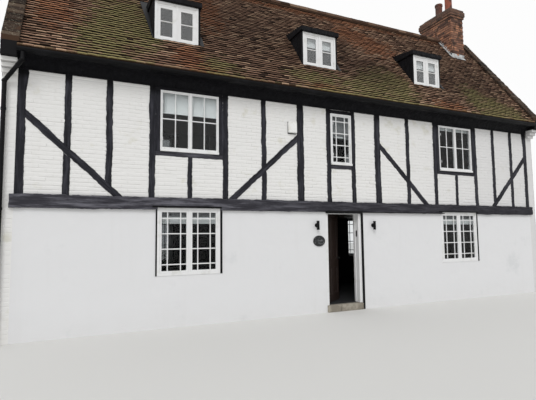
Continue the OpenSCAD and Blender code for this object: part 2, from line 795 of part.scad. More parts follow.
// Lead turned up against the stack, all round it, above both slopes
module chimney_flashing() color(lead_grey) intersection() {
    difference() {
        chimney_shaft(flashing_t, plate_top, chimney_h - cut);
        chimney_shaft(0, plate_top - cut, chimney_h);
    }
    at_front() along_front(chimney_x - 2 * flashing_t, chimney_w + 4 * flashing_t) difference() {
        polygon([
            [0, tile_z(0) + bed], [ridge_y, tile_z(ridge_y) + bed], [house_depth, tile_z(0) + bed],
            [house_depth, tile_z(0) + flashing_h], [ridge_y, tile_z(ridge_y) + flashing_h],
            [0, tile_z(0) + flashing_h]
        ]);
        ridge_outline();
    }
}

// Windows

// The lights of a window: width, left edge, foot and height
function light_w(w) = (w[1] - 2 * w[5] - (w[4] - 1) * mullion_w) / w[4];
function light_left(w, i) = w[0] + w[5] + i * (light_w(w) + mullion_w);
function light_foot(w) = w[2] + w[6];
function light_h(w) = w[3] - w[5] - w[6];
// Frame of a window with a mullion between its lights
module window_frame(w, y) difference() {
    block(w[0], y, w[2], w[1], frame_d, w[3]);
    for (i = [0:w[4] - 1])
        block(light_left(w, i), y - cut, light_foot(w), light_w(w), frame_d + 2 * cut, light_h(w));
}
// The foot of a first-floor frame stands out as a sill
module window_sill(w, y) block(w[0], y - sill_out, w[2], w[1], sill_out + cut, sill_h);
// What a light's stiles and rails leave free, from front to back
module light_opening(w, i, y, depth)
    block(light_left(w, i) + w[7], y, light_foot(w) + w[8],
          light_w(w) - 2 * w[7], depth, light_h(w) - w[7] - w[8]);
// Casements of a window, one for each light, and the glass in them
module window_casements(w, y) {
    for (i = [0:w[4] - 1]) difference() {
        block(light_left(w, i), y + casement_back, light_foot(w), light_w(w), casement_d, light_h(w));
        light_opening(w, i, y, 2 * frame_d);
    }
}
module window_panes(w, y) {
    for (i = [0:w[4] - 1]) light_opening(w, i, y + casement_back + (casement_d - glass_t) / 2, glass_t);
}

module ground_window_frames() color(joinery_white) both_sides()
    for (w = ground_windows) window_frame(w, -frame_out);
module first_window_frames() color(joinery_white) both_sides() for (w = first_windows) {
    window_frame(w, -frame_out);
    window_sill(w, -frame_out);
}
module dormer_window_frames() color(joinery_white) at_front()
    for (w = dormer_windows) window_frame(w, dormer_y);
module casements() color(joinery_white) {
    both_sides() for (w = wall_windows) window_casements(w, -frame_out);
    at_front() for (w = dormer_windows) window_casements(w, dormer_y);
}
module window_glass() color("#5a6468") {
    both_sides() for (w = wall_windows) window_panes(w, -frame_out);
    at_front() for (w = dormer_windows) window_panes(w, dormer_y);
}

// Blinds hang behind the frames of the street windows, each let down by its own share
blind_drops = [0.2, 0.3, 0.42, 0.5, 0.14, 0.55];
module blind(w, y, drop) {
    top = w[2] + w[3] - w[5];
    block(w[0] + w[5] / 2, y + frame_d, top - w[3] * drop, w[1] - w[5], blind_t, w[3] * drop);
}
module window_blinds() color("#cfd0cc") at_front() {
    for (i = [0:len(wall_windows) - 1]) blind(wall_windows[i], -frame_out, blind_drops[i]);
    for (i = [1, 2]) blind(dormer_windows[i], dormer_y, blind_drops[5]);
}

// Door

// The hinge pins' line, on the inner side of the left jamb
pin_x = door_x + jamb_w;
leaf_inner = ground_wall_t;
leaf_outer = leaf_inner - leaf_t;
pin_y = leaf_inner + pin_back;
door_clear = door_frame_w - 2 * jamb_w;
leaf_w = door_clear - leaf_side - leaf_gap;
door_head = beam_z - door_head_h;
leaf_h = door_head - floor_h - 2 * leaf_gap;
hinge_zs = [floor_h + hinge_low, floor_h + hinge_high];

module door_frame() color(joinery_white) at_front() difference() {
    block(door_x, door_frame_back, floor_h, door_frame_w, ground_wall_t - door_frame_back, beam_z - floor_h);
    block(door_x + jamb_w + stop_w, -cut, floor_h - cut, door_clear - 2 * stop_w,
          ground_wall_t + 2 * cut, door_head - stop_w - floor_h + cut);
    block(door_x + jamb_w, leaf_outer - stop_gap, floor_h - cut, door_clear,
          leaf_t + stop_gap + cut, door_head - floor_h + cut);
    block(door_x + jamb_w, -cut, floor_h - cut, door_clear,
          leaf_outer - stop_gap - stop_d + cut, door_head - floor_h + cut);
}

// The door stands open: its pieces are drawn closed and turned about the pins
module opened() at_front() translate([pin_x, pin_y, 0]) rotate([0, 0, door_open])
    translate([-pin_x, -pin_y, 0]) children();

leaf_x = pin_x + leaf_side;
leaf_z = floor_h + leaf_gap;
// Sunk panels, two below and two above the lock rail, on both faces
module leaf_panels() {
    w = (leaf_w - 3 * panel_margin) / 2;
    rows = [[foot_rail_h, lock_rail_z], [lock_rail_z + lock_rail_h, leaf_h - panel_margin]];
    for (i = [0, 1]) for (r = rows) for (y = [leaf_outer - cut, leaf_inner - panel_deep])
        block(leaf_x + panel_margin + i * (w + panel_margin), y, leaf_z + r[0],
              w, panel_deep + cut, r[1] - r[0]);
}
module door_leaf() color(door_brown) opened() difference() {
    block(leaf_x, leaf_outer, leaf_z, leaf_w, leaf_t, leaf_h);
    leaf_panels();
}

// Turned knobs on roses, on both faces
rose_t = 6;
module knob() rotate_extrude() polygon([
    [0, 0], [knob_r, 0], [knob_r, rose_t], [knob_r * 0.4, rose_t], [knob_r * 0.4, knob_out - knob_r],
    [knob_r, knob_out - knob_r * 0.6], [knob_r, knob_out - knob_r * 0.25],
    [knob_r * 0.7, knob_out], [0, knob_out]
]);
module door_knob() color("#2a2a2a") opened() {
    x = leaf_x + leaf_w - panel_margin / 2;
    translate([x, leaf_outer, floor_h + knob_z]) rotate([90, 0, 0]) knob();
    translate([x, leaf_inner, floor_h + knob_z]) rotate([-90, 0, 0]) knob();
}

// A pintle is a plate on the jamb's inner face with a shoulder and an upright pin
eye_r = pin_r + pin_gap + eye_wall;
module pintle(z) {
    foot = z - bed - shoulder_h;
    translate([pin_x, pin_y, foot]) cylinder(h = shoulder_h, r = eye_r);
    translate([pin_x, pin_y, foot]) cylinder(h = shoulder_h + bed + eye_h + pin_over, r = pin_r);
    block(door_x + strap_t, leaf_inner, foot, jamb_w - strap_t, strap_t, shoulder_h);
    block(pin_x - eye_r, leaf_inner, foot, eye_r, pin_back, shoulder_h);
}
module door_pintles() color("#232325") at_front() for (z = hinge_zs) pintle(z);

// A strap lies on the leaf's inner face and ends in the eye that turns on the pin
module strap(z) difference() {
    union() {
        translate([pin_x, pin_y, z]) cylinder(h = eye_h, r = eye_r);
        block(leaf_x, leaf_inner, z, strap_len, strap_t, eye_h);
        block(pin_x, leaf_inner + strap_t / 2, z, leaf_x - pin_x + eye_r, pin_back - strap_t / 2, eye_h);
    }
    translate([pin_x, pin_y, z - cut]) cylinder(h = eye_h + 2 * cut, r = pin_r + pin_gap);
}
module door_straps() color("#232325") opened() for (z = hinge_zs) strap(z);

// Fittings on the street front

// Black strips beside the windows and the door, from the bressummer down
module strip(x, w, z0) { block(x, -strip_t, z0, w, strip_t, beam_z - z0); }
module side_strips() color(oak_black) at_front() {
    strip(ground_window_left - slim_strip_w, slim_strip_w, ground_window_z);
    for (w = ground_windows) strip(w[0] + w[1], strip_w, ground_window_z);
    strip(door_x2, strip_w, 0);
}

// A wall light is a short upright tube on a tapered arm and a round back plate
light_z = beam_z - light_drop;
module wall_light(x) translate([x, 0, light_z]) {
    rotate([90, 0, 0]) cylinder(h = light_plate_t, r = light_plate_r);
    rotate([90, 0, 0]) cylinder(h = light_out, r1 = light_plate_r * 0.75, r2 = light_r / 2);
    translate([0, -light_out, -light_h / 2]) cylinder(h = light_h, r = light_r);
}
module wall_lights() color("#161616") at_front()
    for (x = [door_x - light_left, door_x2 + light_right]) wall_light(x);

// The oval plaque is bare, with a raised rim
module oval(w, h) polygon([for (a = [0:7.5:359]) [w / 2 * cos(a), h / 2 * sin(a)]]);
module wall_plaque() color("#4c4f52") at_front()
    translate([door_x - plaque_left, 0, plaque_z]) rotate([90, 0, 0]) difference() {
        linear_extrude(plaque_t) oval(plaque_w, plaque_h);
        translate([0, 0, plaque_t * 0.7]) linear_extrude(plaque_t)
            oval(plaque_w - 2 * plaque_rim, plaque_h - 2 * plaque_rim);
    }

// The alarm box has chamfered front edges and hangs on the brick infill
module alarm_box() color("#ececea") at_front()
    translate([main_post_x - alarm_w - alarm_gap, infill_back, plate_z - brace_drop + alarm_rise])
    linear_extrude(alarm_h) polygon([
        [0, 0], [0, -alarm_d + alarm_bevel], [alarm_bevel, -alarm_d],
        [alarm_w - alarm_bevel, -alarm_d], [alarm_w, -alarm_d + alarm_bevel], [alarm_w, 0]
    ]);

ground_floor();
doorstep();
front_wall_left();
front_wall_right();
rear_wall();
party_wall_left();
party_wall_right();
parapet_copings();
bressummers();
wall_plates();
posts();
studs();
braces();
window_rails();
front_infill();
rear_infill();
first_floor();
attic_floor();
roof_front();
roof_rear();
ridge_tiles();
eaves_cornices();
gutters();
downpipes();
dormer_cheeks();
dormer_roofs();
chimney_stack();
chimney_cap();
chimney_pots();
chimney_flashing();
ground_window_frames();
first_window_frames();
dormer_window_frames();
casements();
window_glass();
window_blinds();
door_frame();
door_leaf();
door_knob();
door_pintles();
door_straps();
side_strips();
wall_lights();
wall_plaque();
alarm_box();
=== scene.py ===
# %% [markdown]
# # A half timbered house in a row
# The house stands on packed construction solids: walls, timber frame, roof, windows and one door that
# turns. This lesson gives it its finish. It lays tiles and bricks one by one, ages the oak, puts bars in
# the windows, and mixes every paint from nodes, so no picture is needed. All lengths are metres, and
# the street front looks towards -Y.

import json
import math

import bmesh
import bpy
import numpy as np
from mathutils import Matrix, Vector, noise


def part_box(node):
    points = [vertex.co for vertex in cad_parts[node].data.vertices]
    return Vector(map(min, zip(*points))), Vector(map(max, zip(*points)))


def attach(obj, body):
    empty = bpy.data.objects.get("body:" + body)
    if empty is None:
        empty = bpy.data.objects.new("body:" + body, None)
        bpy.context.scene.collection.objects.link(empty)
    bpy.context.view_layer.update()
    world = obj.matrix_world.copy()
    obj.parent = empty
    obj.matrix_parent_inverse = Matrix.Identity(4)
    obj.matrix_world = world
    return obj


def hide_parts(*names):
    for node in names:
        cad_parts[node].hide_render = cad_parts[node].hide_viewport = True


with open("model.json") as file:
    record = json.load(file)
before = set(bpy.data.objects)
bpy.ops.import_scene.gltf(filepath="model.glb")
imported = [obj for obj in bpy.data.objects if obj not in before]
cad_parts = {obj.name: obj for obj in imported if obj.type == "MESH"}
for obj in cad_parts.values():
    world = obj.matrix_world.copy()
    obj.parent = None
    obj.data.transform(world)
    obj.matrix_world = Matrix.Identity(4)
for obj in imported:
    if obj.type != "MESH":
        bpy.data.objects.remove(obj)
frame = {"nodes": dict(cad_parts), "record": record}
nodes = frame["nodes"]
scene = bpy.context.scene
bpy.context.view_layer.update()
SEED = 53
rng = np.random.default_rng(SEED)
noise.seed_set(SEED)
for plain in list(bpy.data.materials):
    bpy.data.materials.remove(plain)
print("nodes:", len(nodes))


def placed(name, data):
    """A new object in the scene."""
    thing = bpy.data.objects.new(name, data)
    scene.collection.objects.link(thing)
    return thing

# %% [markdown]
# ## Camera
# The camera's place was solved from points of the front that are known in the model, so a render lies
# on the photograph. Its three axes follow from a heading, a rise above the horizon and a slight roll.
# Sensor fit is horizontal, so that the lens means the same at any image size.

# %% Camera
CAMERA_AT = Vector((-5.607, -10.312, 1.719))
HEADING, RISE, ROLL = math.radians(24.46), math.radians(4.67), math.radians(-0.61)
SENSOR, LENS = 36, 28.73

ahead = Vector((math.sin(HEADING) * math.cos(RISE), math.cos(HEADING) * math.cos(RISE), math.sin(RISE)))
level = Vector((math.cos(HEADING), -math.sin(HEADING), 0))
over = level.cross(ahead)
right = level * math.cos(ROLL) + over * math.sin(ROLL)
up = over * math.cos(ROLL) - level * math.sin(ROLL)

camera = placed("camera", bpy.data.cameras.new("camera"))
camera.data.sensor_fit = "HORIZONTAL"
camera.data.sensor_width = SENSOR
camera.data.lens = LENS
camera.data.clip_end = 300
camera.matrix_world = Matrix.Translation(CAMERA_AT) @ Matrix((right, up, -ahead)).transposed().to_4x4()
scene.camera = camera

# %% [markdown]
# ## Node trees in short words
# Materials here are small node trees. Writing each node by hand takes five lines, so a tree gets one
# short word for each kind of node. Colours are written as a painter's hex and turned into the linear
# values that the renderer works with. A material and a shared effect are both such trees: the first
# ends in a shader, the second in named outputs.

# %% Node helpers
def rgb(code):
    """A hex colour as linear red, green, blue and alpha."""
    parts = [int(code[i:i + 2], 16) / 255 for i in (1, 3, 5)]
    return [p / 12.92 if p <= 0.04045 else ((p + 0.055) / 1.055) ** 2.4 for p in parts] + [1.0]


class Tree:
    """A node tree that nodes are added to, with the place that its textures are drawn in."""

    def __init__(self, tree):
        self.tree, self.place = tree, None
        tree.nodes.clear()

    def feed(self, socket, value):
        """Links a socket to another one, or sets its number or colour."""
        if isinstance(value, bpy.types.NodeSocket):
            self.tree.links.new(value, socket)
        else:
            socket.default_value = rgb(value) if isinstance(value, str) else value

    def add(self, kind, inputs, **settings):
        """Adds one node with its settings, then fills or links its inputs."""
        node = self.tree.nodes.new("ShaderNode" + kind)
        for name, value in settings.items():
            setattr(node, name, value)
        for name, value in inputs.items():
            self.feed(node.inputs[name], value)
        return node

    def mix(self, share, first, second):
        """Mixes two colours by a share from 0 to 1."""
        return self.add("Mix", {0: share, 6: first, 7: second}, data_type="RGBA").outputs[2]

    def ranged(self, value, low, high, to_low=0.0, to_high=1.0):
        """Maps a value between two limits smoothly onto another range."""
        return self.add("MapRange", {"Value": value, "From Min": low, "From Max": high, "To Min": to_low,
                                     "To Max": to_high}, interpolation_type="SMOOTHSTEP").outputs["Result"]

    def sum(self, operation, a, b=0.0):
        """One sum on two values."""
        return self.add("Math", {0: a, 1: b}, operation=operation).outputs[0]

    def times(self, a, b):
        return self.sum("MULTIPLY", a, b)

    def plus(self, a, b):
        return self.sum("ADD", a, b)

    def noise(self, scale, detail=3.0, rough=0.55, at=None):
        """Cloudy noise from 0 to 1."""
        return self.add("TexNoise", {"Vector": self.place if at is None else at, "Scale": scale,
                                     "Detail": detail, "Roughness": rough}).outputs["Fac"]

    def axis(self, letter, at=None):
        """One coordinate of a place."""
        return self.add("SeparateXYZ", {0: self.place if at is None else at}).outputs[letter]

    def drawn_out(self, factors, at=None):
        """A place with its axes scaled, which draws a texture out along some of them."""
        return self.add("VectorMath", {0: self.place if at is None else at, 1: factors},
                        operation="MULTIPLY").outputs[0]

    def mark(self, name):
        """A number that is stored on the mesh."""
        return self.add("Attribute", {}, attribute_name=name).outputs["Fac"]


COLOURS = ("Colour", "Second", "Stain", "Dark", "Middle", "Light")


class Effect(Tree):
    """A node group. Of its sockets, Place is a vector, COLOURS are colours and the rest are numbers."""

    def __init__(self, name, inputs, outputs):
        super().__init__(bpy.data.node_groups.new(name, "ShaderNodeTree"))
        for side, names in (("INPUT", inputs), ("OUTPUT", outputs)):
            for socket in names.split():
                kind = "Vector" if socket == "Place" else "Color" if socket in COLOURS else "Float"
                self.tree.interface.new_socket(socket, in_out=side, socket_type="NodeSocket" + kind)
        self.given = self.tree.nodes.new("NodeGroupInput").outputs
        self.end = self.tree.nodes.new("NodeGroupOutput")
        self.place = self.given.get("Place")

    def give(self, **values):
        for name, value in values.items():
            self.feed(self.end.inputs[name], value)

# %% [markdown]
# ## Effects that several finishes share
# Five effects come back on many surfaces, so each is one node group. *Patches* lets a second colour
# show in clouds, as on limewash and old paint. *Unit tone* gives every tile or brick its own shade from
# a number stored on its faces. *Grain* draws long fibres that follow a timber's lean. *Weather* darkens
# a wall near the ground and runs thin streaks down it. *Room* paints a wall's inner side near black, a
# painted shade that keeps the rooms behind the panes dim.

# %% Patches
fx = patches = Effect("Patches", "Place Colour Second Scale Share", "Colour")
edge = fx.sum("SUBTRACT", 0.72, fx.times(fx.given["Share"], 0.4))
mask = fx.ranged(fx.noise(fx.given["Scale"], 6.0, 0.6), edge, fx.plus(edge, 0.16))
fx.give(Colour=fx.mix(mask, fx.given["Colour"], fx.given["Second"]))

# %% Unit tone
fx = unit_tone = Effect("Unit tone", "Dark Middle Light", "Colour")
tone = fx.mark("tone")
lower = fx.mix(fx.ranged(tone, 0.0, 0.5), fx.given["Dark"], fx.given["Middle"])
fx.give(Colour=fx.mix(fx.ranged(tone, 0.5, 1.0), lower, fx.given["Light"]))

# %% Grain
fx = grain = Effect("Grain", "Place Lean Fineness", "Height Cracks Streaks")
turned = fx.add("VectorRotate", {"Vector": fx.place, "Angle": fx.given["Lean"]},
                rotation_type="Y_AXIS").outputs[0]
fibres = fx.noise(fx.given["Fineness"], 4.0, 0.65, fx.drawn_out((1.0, 1.0, 0.05), turned))
broad = fx.noise(fx.times(fx.given["Fineness"], 0.4), 6.0, 0.7, fx.drawn_out((1.0, 1.0, 0.1), turned))
fx.give(Height=fibres, Cracks=fx.ranged(fibres, 0.36, 0.28), Streaks=fx.ranged(broad, 0.4, 0.66))

# %% Weather
SPLASH_Z = 0.55
fx = weather = Effect("Weather", "Place Colour Stain Amount", "Colour")
splash = fx.times(fx.ranged(fx.axis("Z"), SPLASH_Z, 0.0), fx.noise(3.0, 5.0))
runs = fx.ranged(fx.noise(7.0, 5.0, at=fx.drawn_out((1.0, 1.0, 0.08))), 0.55, 0.8)
amount = fx.times(fx.plus(splash, fx.times(runs, 0.35)), fx.given["Amount"])
fx.give(Colour=fx.mix(amount, fx.given["Colour"], fx.given["Stain"]))

# %% Room
ROOM_X, ROOM_Y = (6.545, 6.535), (2.06, 1.96)
fx = room_shade = Effect("Room", "Place Colour", "Colour")
room_shade_mask = fx.times(fx.ranged(fx.sum("ABSOLUTE", fx.axis("X")), *ROOM_X),
                  fx.ranged(fx.sum("ABSOLUTE", fx.axis("Y")), *ROOM_Y))
# Inside the house the colour turns near black, a painted shade of the dim rooms.
fx.give(Colour=fx.mix(room_shade_mask, fx.given["Colour"], "#141518"))
print("shared effects:", ", ".join(g.name for g in bpy.data.node_groups))

# %% [markdown]
# ## A paint
# Every finish is a shader with a roughness, a colour and a relief, all drawn in the object's own
# coordinates. Its shine and metal are set only where they differ from a plain surface.

# %% Paint
class Paint(Tree):
    """A material in the making."""

    def __init__(self, name, rough, shine=0.5, metal=0.0):
        made = bpy.data.materials.new(name)
        made.use_nodes = True
        super().__init__(made.node_tree)
        self.shader = self.add("BsdfPrincipled", {"Roughness": rough, "Specular IOR Level": shine,
                                                  "Metallic": metal})
        self.add("OutputMaterial", {0: self.shader.outputs[0]})
        self.place = self.add("TexCoord", {}).outputs["Object"]

    def set(self, **inputs):
        """Feeds sockets of the shader, named with underscores for spaces."""
        for name, value in inputs.items():
            self.feed(self.shader.inputs[name.replace("_", " ")], value)

    def coat(self, colour, height, strength, depth):
        """Gives the shader its colour and its relief."""
        relief = self.add("Bump", {"Height": height, "Strength": strength, "Distance": depth})
        self.set(Base_Color=colour, Normal=relief.outputs[0])

    def use(self, effect, **inputs):
        """Places a shared effect and gives its outputs."""
        if effect.place is not None:
            inputs["Place"] = self.place
        return self.add("Group", inputs, node_tree=effect.tree).outputs

    def clouded(self, first, second, scale, share):
        """A colour with patches of a second one."""
        return self.use(patches, Colour=first, Second=second, Scale=scale, Share=share)["Colour"]

    def wave(self, scale, distortion, axis):
        """Even bands across one axis, from 0 to 1."""
        return self.add("TexWave", {"Vector": self.place, "Scale": scale, "Distortion": distortion},
                        bands_direction=axis).outputs["Fac"]

    def toned(self, dark, middle, light):
        """A colour that differs from unit to unit."""
        return self.use(unit_tone, Dark=dark, Middle=middle, Light=light)["Colour"]

# %% [markdown]
# ## Paint on oak
# The frame is painted a near black with a hint of violet. The paint has dulled unevenly, and the grain
# and a few long cracks show through. Every timber stores its lean from the upright, so one material
# runs its grain along posts, beams and braces alike. The level beam grows darker towards the right.
# Under the cornice it is near black with soot and painted shade, and below the beam it is near black too.

# %% Black timber
BEAM_Z, CORNICE_Z = 2.2, 4.4
mat = Paint("black_timber", 0.5, shine=0.12)
lean = mat.mark("lean")
fibre = mat.use(grain, Lean=lean, Fineness=38.0)
post = mat.mix(fibre["Streaks"], "#222227", "#3d3d44")
beam = mat.mix(fibre["Streaks"], "#35343a", "#6d6c74")
# The beam grows darker towards the right.
beam = mat.mix(mat.ranged(mat.axis("X"), -5.5, 4.0, 0.0, 0.75), beam, "#242328")
dulled_and_shaded = mat.mix(mat.ranged(lean, 1.4, 1.56), post, beam)
# Soot and painted shade: near black under the cornice.
dulled_and_shaded = mat.mix(mat.ranged(mat.axis("Z"), CORNICE_Z, CORNICE_Z + 0.15, 0.0, 0.85), dulled_and_shaded, "#040406")
dulled_and_shaded = mat.mix(mat.ranged(mat.axis("Z"), BEAM_Z, BEAM_Z - 0.01, 0.0, 0.9), dulled_and_shaded, "#070709")
mat.set(Roughness=mat.ranged(mat.noise(9.0), 0.3, 0.75, 0.5, 0.75))
mat.coat(mat.mix(fibre["Cracks"], dulled_and_shaded, "#0d0c0f"), mat.plus(fibre["Height"], fibre["Streaks"]), 0.8, 0.012)

# %% [markdown]
# ## White paint on brick and render
# Both whites are old masonry paint, slightly cool. On brick it is thick enough to round every joint.
# On the render below it shows broad, shallow waves from the float and a fine sandy tooth. The brick
# grows greyer towards the right. The black of the cornice runs on over the kneelers, where only the faces
# of the corbelled courses are white. Those store a share of white, less on their undersides as painted
# shade, and everything else out there turns black.

# %% Painted brick and render
mat = Paint("painted_brick", 0.8, shine=0.2)
chalk = mat.clouded("#e9e8e6", "#dbd9cf", 2.6, 0.35)
# The brick grows greyer towards the right.
greyer_rightwards = mat.mix(mat.ranged(mat.axis("X"), 0.5, 6.5, 0.0, 0.55), chalk, "#cfcecf")
washed = mat.use(weather, Colour=greyer_rightwards, Stain="#bdb9a8", Amount=0.16)["Colour"]
corbel = mat.times(mat.ranged(mat.axis("Z"), 4.5, 4.505),
                   mat.ranged(mat.sum("ABSOLUTE", mat.axis("Y")), 2.107, 2.11))
# Black out on the kneelers, and painted shade on the undersides of their courses.
black_and_shade = mat.sum("SUBTRACT", 1.0, mat.mark("white_unshaded"))
face = mat.mix(mat.times(corbel, black_and_shade), washed, "#0c0b0d")
trowelled = mat.noise(22.0, 5.0, 0.6, mat.drawn_out((0.3, 0.3, 1.0)))
mat.coat(mat.use(room_shade, Colour=face)["Colour"], trowelled, 0.5, 0.008)

mat = Paint("render", 0.8)
chalk = mat.clouded("#e3e3e4", "#d8d9da", 1.1, 0.35)
washed = mat.use(weather, Colour=chalk, Stain="#b2afa4", Amount=0.12)["Colour"]
tooth = mat.times(mat.noise(90.0, 5.0, 0.7), 0.12)
mat.coat(mat.use(room_shade, Colour=washed)["Colour"], mat.plus(mat.noise(2.4, 2.0), tooth), 0.55, 0.03)

# %% [markdown]
# ## Clay
# Hand-made plain tiles range from plum to rust. Where the roof is dry it has burnt to orange, and where
# it is damp moss has grown in tufts. Patches are dimmed, among them a painted shade to the right of the
# dormers. Under the tail of the tile above a dark band of painted shade and dirt draws every course as a
# dark line, so each corner of a tile stores its *reach* from its own tail. Faces that look down are
# painted dark as shade. The stack is of brown stock brick with soot at its cap, and the copings carry
# pale lichen.

# %% Tiles, copings, chimney brick and pots
mat = Paint("roof_tile", 0.92, shine=0.08)
rust, damp, dim, reach, tone = (mat.mark(name) for name in ("rust", "moss", "dim", "reach", "tone"))
luck = mat.add("TexWhiteNoise", {"W": mat.times(tone, 97.0)}, noise_dimensions="1D").outputs["Value"]
mottle = mat.plus(mat.noise(9.0, 6.0, 0.7), mat.times(luck, 0.4))
burnt = mat.ranged(mat.plus(mat.times(rust, 0.8), mottle), 0.95, 1.4, 0.0, 0.85)
tufts = mat.plus(mat.noise(15.0, 6.0, 0.72), mat.times(luck, 0.35))
moss = mat.ranged(mat.plus(mat.times(damp, 0.75), tufts), 0.95, 1.45, 0.0, 0.85)
clay = mat.mix(burnt, mat.toned("#47362b", "#90705d", "#c6a488"), mat.mix(luck, "#74452f", "#b8805f"))
clay = mat.mix(moss, clay, mat.mix(mat.noise(12.0, 5.0), "#4c472c", "#bdb37a"))
# Dimmed patches, among them painted shade to the right of the dormers.
clay = mat.mix(mat.times(dim, 0.5), clay, "#2a201b")
# Painted shade and dirt under each tail, and painted shade on faces that look down.
crevice_shade_and_dirt = mat.ranged(reach, 0.036, 0.052)
facing_down = mat.ranged(mat.axis("Z", mat.add("NewGeometry", {}).outputs["Normal"]), -0.1, -0.5)
tail_shade = mat.times(facing_down, mat.ranged(mat.axis("Z"), 4.9, 4.93, 0.0, 0.85))
clay = mat.mix(mat.sum("MAXIMUM", crevice_shade_and_dirt, tail_shade), clay, "#0f0b09")
mat.coat(clay, mat.plus(mat.noise(60.0, 5.0, 0.65), moss), 0.6, 0.008)

mat = Paint("coping", 0.95, shine=0.1)
lichen = mat.ranged(mat.noise(26.0, 6.0, 0.78), 0.53, 0.64, 0.0, 0.75)
capped = mat.mix(lichen, mat.toned("#1f1a17", "#382e28", "#574a3f"), "#8d8472")
mat.coat(capped, mat.noise(45.0, 6.0, 0.7), 0.7, 0.01)

mat = Paint("chimney_brick", 0.93, shine=0.1)
sooty = mat.clouded(mat.toned("#56413a", "#8a6554", "#b58266"), "#3a2d27", 4.5, 0.5)
upper = mat.ranged(mat.axis("Z"), 8.6, 8.95, 0.0, 0.7)
mat.coat(mat.mix(upper, sooty, "#4f443e"), mat.noise(45.0, 6.0, 0.75), 0.9, 0.012)

mat = Paint("chimney_pot", 0.85)
fired = mat.mix(mat.ranged(mat.axis("Y"), -0.1, 0.1), "#91503d", "#5c4036")
mat.coat(mat.clouded(fired, "#3b2a25", 6.0, 0.55), mat.noise(40.0, 5.0, 0.6), 0.4, 0.005)

# %% [markdown]
# ## Joinery, glass and metal
# The windows are new white paint, the door is dark stained oak, and the gutters and lights are black.
# Glass is a true glass shader, because the house is hollow and the rooms behind it are dark, kept so
# by painted shade on their inner walls. What hangs within a hand's breadth behind a pane is lit through
# it, which makes the blinds show white. Light that has come in through one window is darkened where it
# leaves through the next, a painted shade that keeps the rooms dim. How much a pane mirrors follows from
# how strongly it bends light, so the lower panes, which face a dark garden, bend it little, and the
# dormers' panes, which face the open sky, bend it most.

# %% Plain paints
PLAIN = (  # name, colour, second colour, its scale and share, roughness, shine, metal, noise, relief
    ("mortar", "#5a4f45", "#352d27", 6.0, 0.8, 0.95, 0.5, 0.0, (70.0, 6.0, 0.7), 0.6, 0.005),
    ("white_joinery", "#e8e8e8", "#dcdcd9", 5.0, 0.5, 0.35, 0.5, 0.0, (45.0, 3.0), 0.15, 0.002),
    ("black_iron", "#1c1c1f", "#302b28", 30.0, 0.6, 0.5, 0.5, 0.0, (120.0, 2.0), 0.4, 0.001),
    ("black_plastic", "#070709", "#131316", 4.0, 0.6, 0.45, 0.14, 0.0, (30.0, 3.0), 0.12, 0.002),
    ("plaque_metal", "#212224", "#6c6e70", 20.0, 0.6, 0.45, 0.5, 0.4, (150.0, 3.0), 0.3, 0.001),
    ("white_plastic", "#f0f0ee", "#e2e1da", 10.0, 0.6, 0.42, 0.5, 0.0, (200.0, 2.0), 0.1, 0.001))
for name, first, second, scale, share, rough, shine, metal, cloud, strength, depth in PLAIN:
    mat = Paint(name, rough, shine, metal)
    mat.coat(mat.clouded(first, second, scale, share), mat.noise(*cloud), strength, depth)

# %% Glass, blinds, door, lead and floors
for name, bending in (("glass", 1.2), ("upper_glass", 1.3), ("sky_glass", 1.8)):
    mat = Paint(name, 0.02)
    path = mat.add("LightPath", {}).outputs
    # Light that has already passed one pane is darkened as it leaves: painted shade that keeps the rooms dim.
    leaving = mat.times(mat.ranged(path["Transmission Depth"], 1.2, 1.9),
                        mat.ranged(path["Ray Length"], 0.2, 0.3))
    passing = mat.times(path["Is Shadow Ray"], mat.ranged(path["Ray Length"], 0.3, 0.2))
    mat.set(Transmission_Weight=1.0, IOR=bending, Alpha=mat.sum("SUBTRACT", 1.0, passing))
    mat.coat(mat.mix(leaving, "#e6e9ea", "#303233"), mat.noise(2.5, 1.0), 0.08, 0.004)

mat = Paint("blind", 0.9)
threads = mat.wave(60.0, 0.4, "Z")
mat.coat(mat.mix(mat.mark("sheer_and_shade"), mat.mix(threads, "#e2e5e4", "#eff1f0"), "#787979"), threads, 0.2, 0.001)

mat = Paint("door_wood", 0.45)
fibre = mat.use(grain, Fineness=70.0)["Height"]
mat.coat(mat.mix(fibre, "#1a1413", "#3a2d27"), fibre, 0.3, 0.002)

mat = Paint("lead", 0.6, metal=0.25)
bright = mat.clouded("#8d9092", "#c3c4c3", 9.0, 0.8)
mat.coat(mat.mix(mat.ranged(mat.axis("X"), 4.4, 4.5), "#121418", bright), mat.noise(14.0, 3.0), 0.4, 0.006)

mat = Paint("floor_boards", 0.6)
fibre = mat.use(grain, Lean=math.pi / 2, Fineness=50.0)["Height"]
seam = mat.ranged(mat.wave(1.1, 0.0, "Y"), 0.04, 0.0)
mat.coat(mat.mix(seam, mat.mix(fibre, "#362a1f", "#5f4f3c"), "#1a130d"), fibre, 0.3, 0.003)

mat = Paint("floor_stone", 0.85)
flags = mat.add("TexVoronoi", {"Vector": mat.place, "Scale": 1.6},
                feature="DISTANCE_TO_EDGE").outputs["Distance"]
paved = mat.mix(mat.ranged(flags, 0.02, 0.0), mat.clouded("#a39c8f", "#857e72", 4.0, 0.8), "#5c564c")
mat.coat(mat.use(room_shade, Colour=paved)["Colour"], mat.noise(30.0, 5.0), 0.4, 0.006)
print("materials:", len(bpy.data.materials))

# %% [markdown]
# ## The record's finishes on the solids
# Each imported node names its material slot. The finishes above carry the slots' names, so one loop
# paints all the solids that stay, and the pieces made later name their material themselves.

# %% Paint the imported nodes
for entry in frame["record"]["subparts"]:
    skin = nodes[entry["node"]].data.materials
    skin.clear()
    skin.append(bpy.data.materials[entry["material_slot"]])
for name in ("chimney_stack", "chimney_cap"):
    nodes[name].data.materials[0] = bpy.data.materials["mortar"]

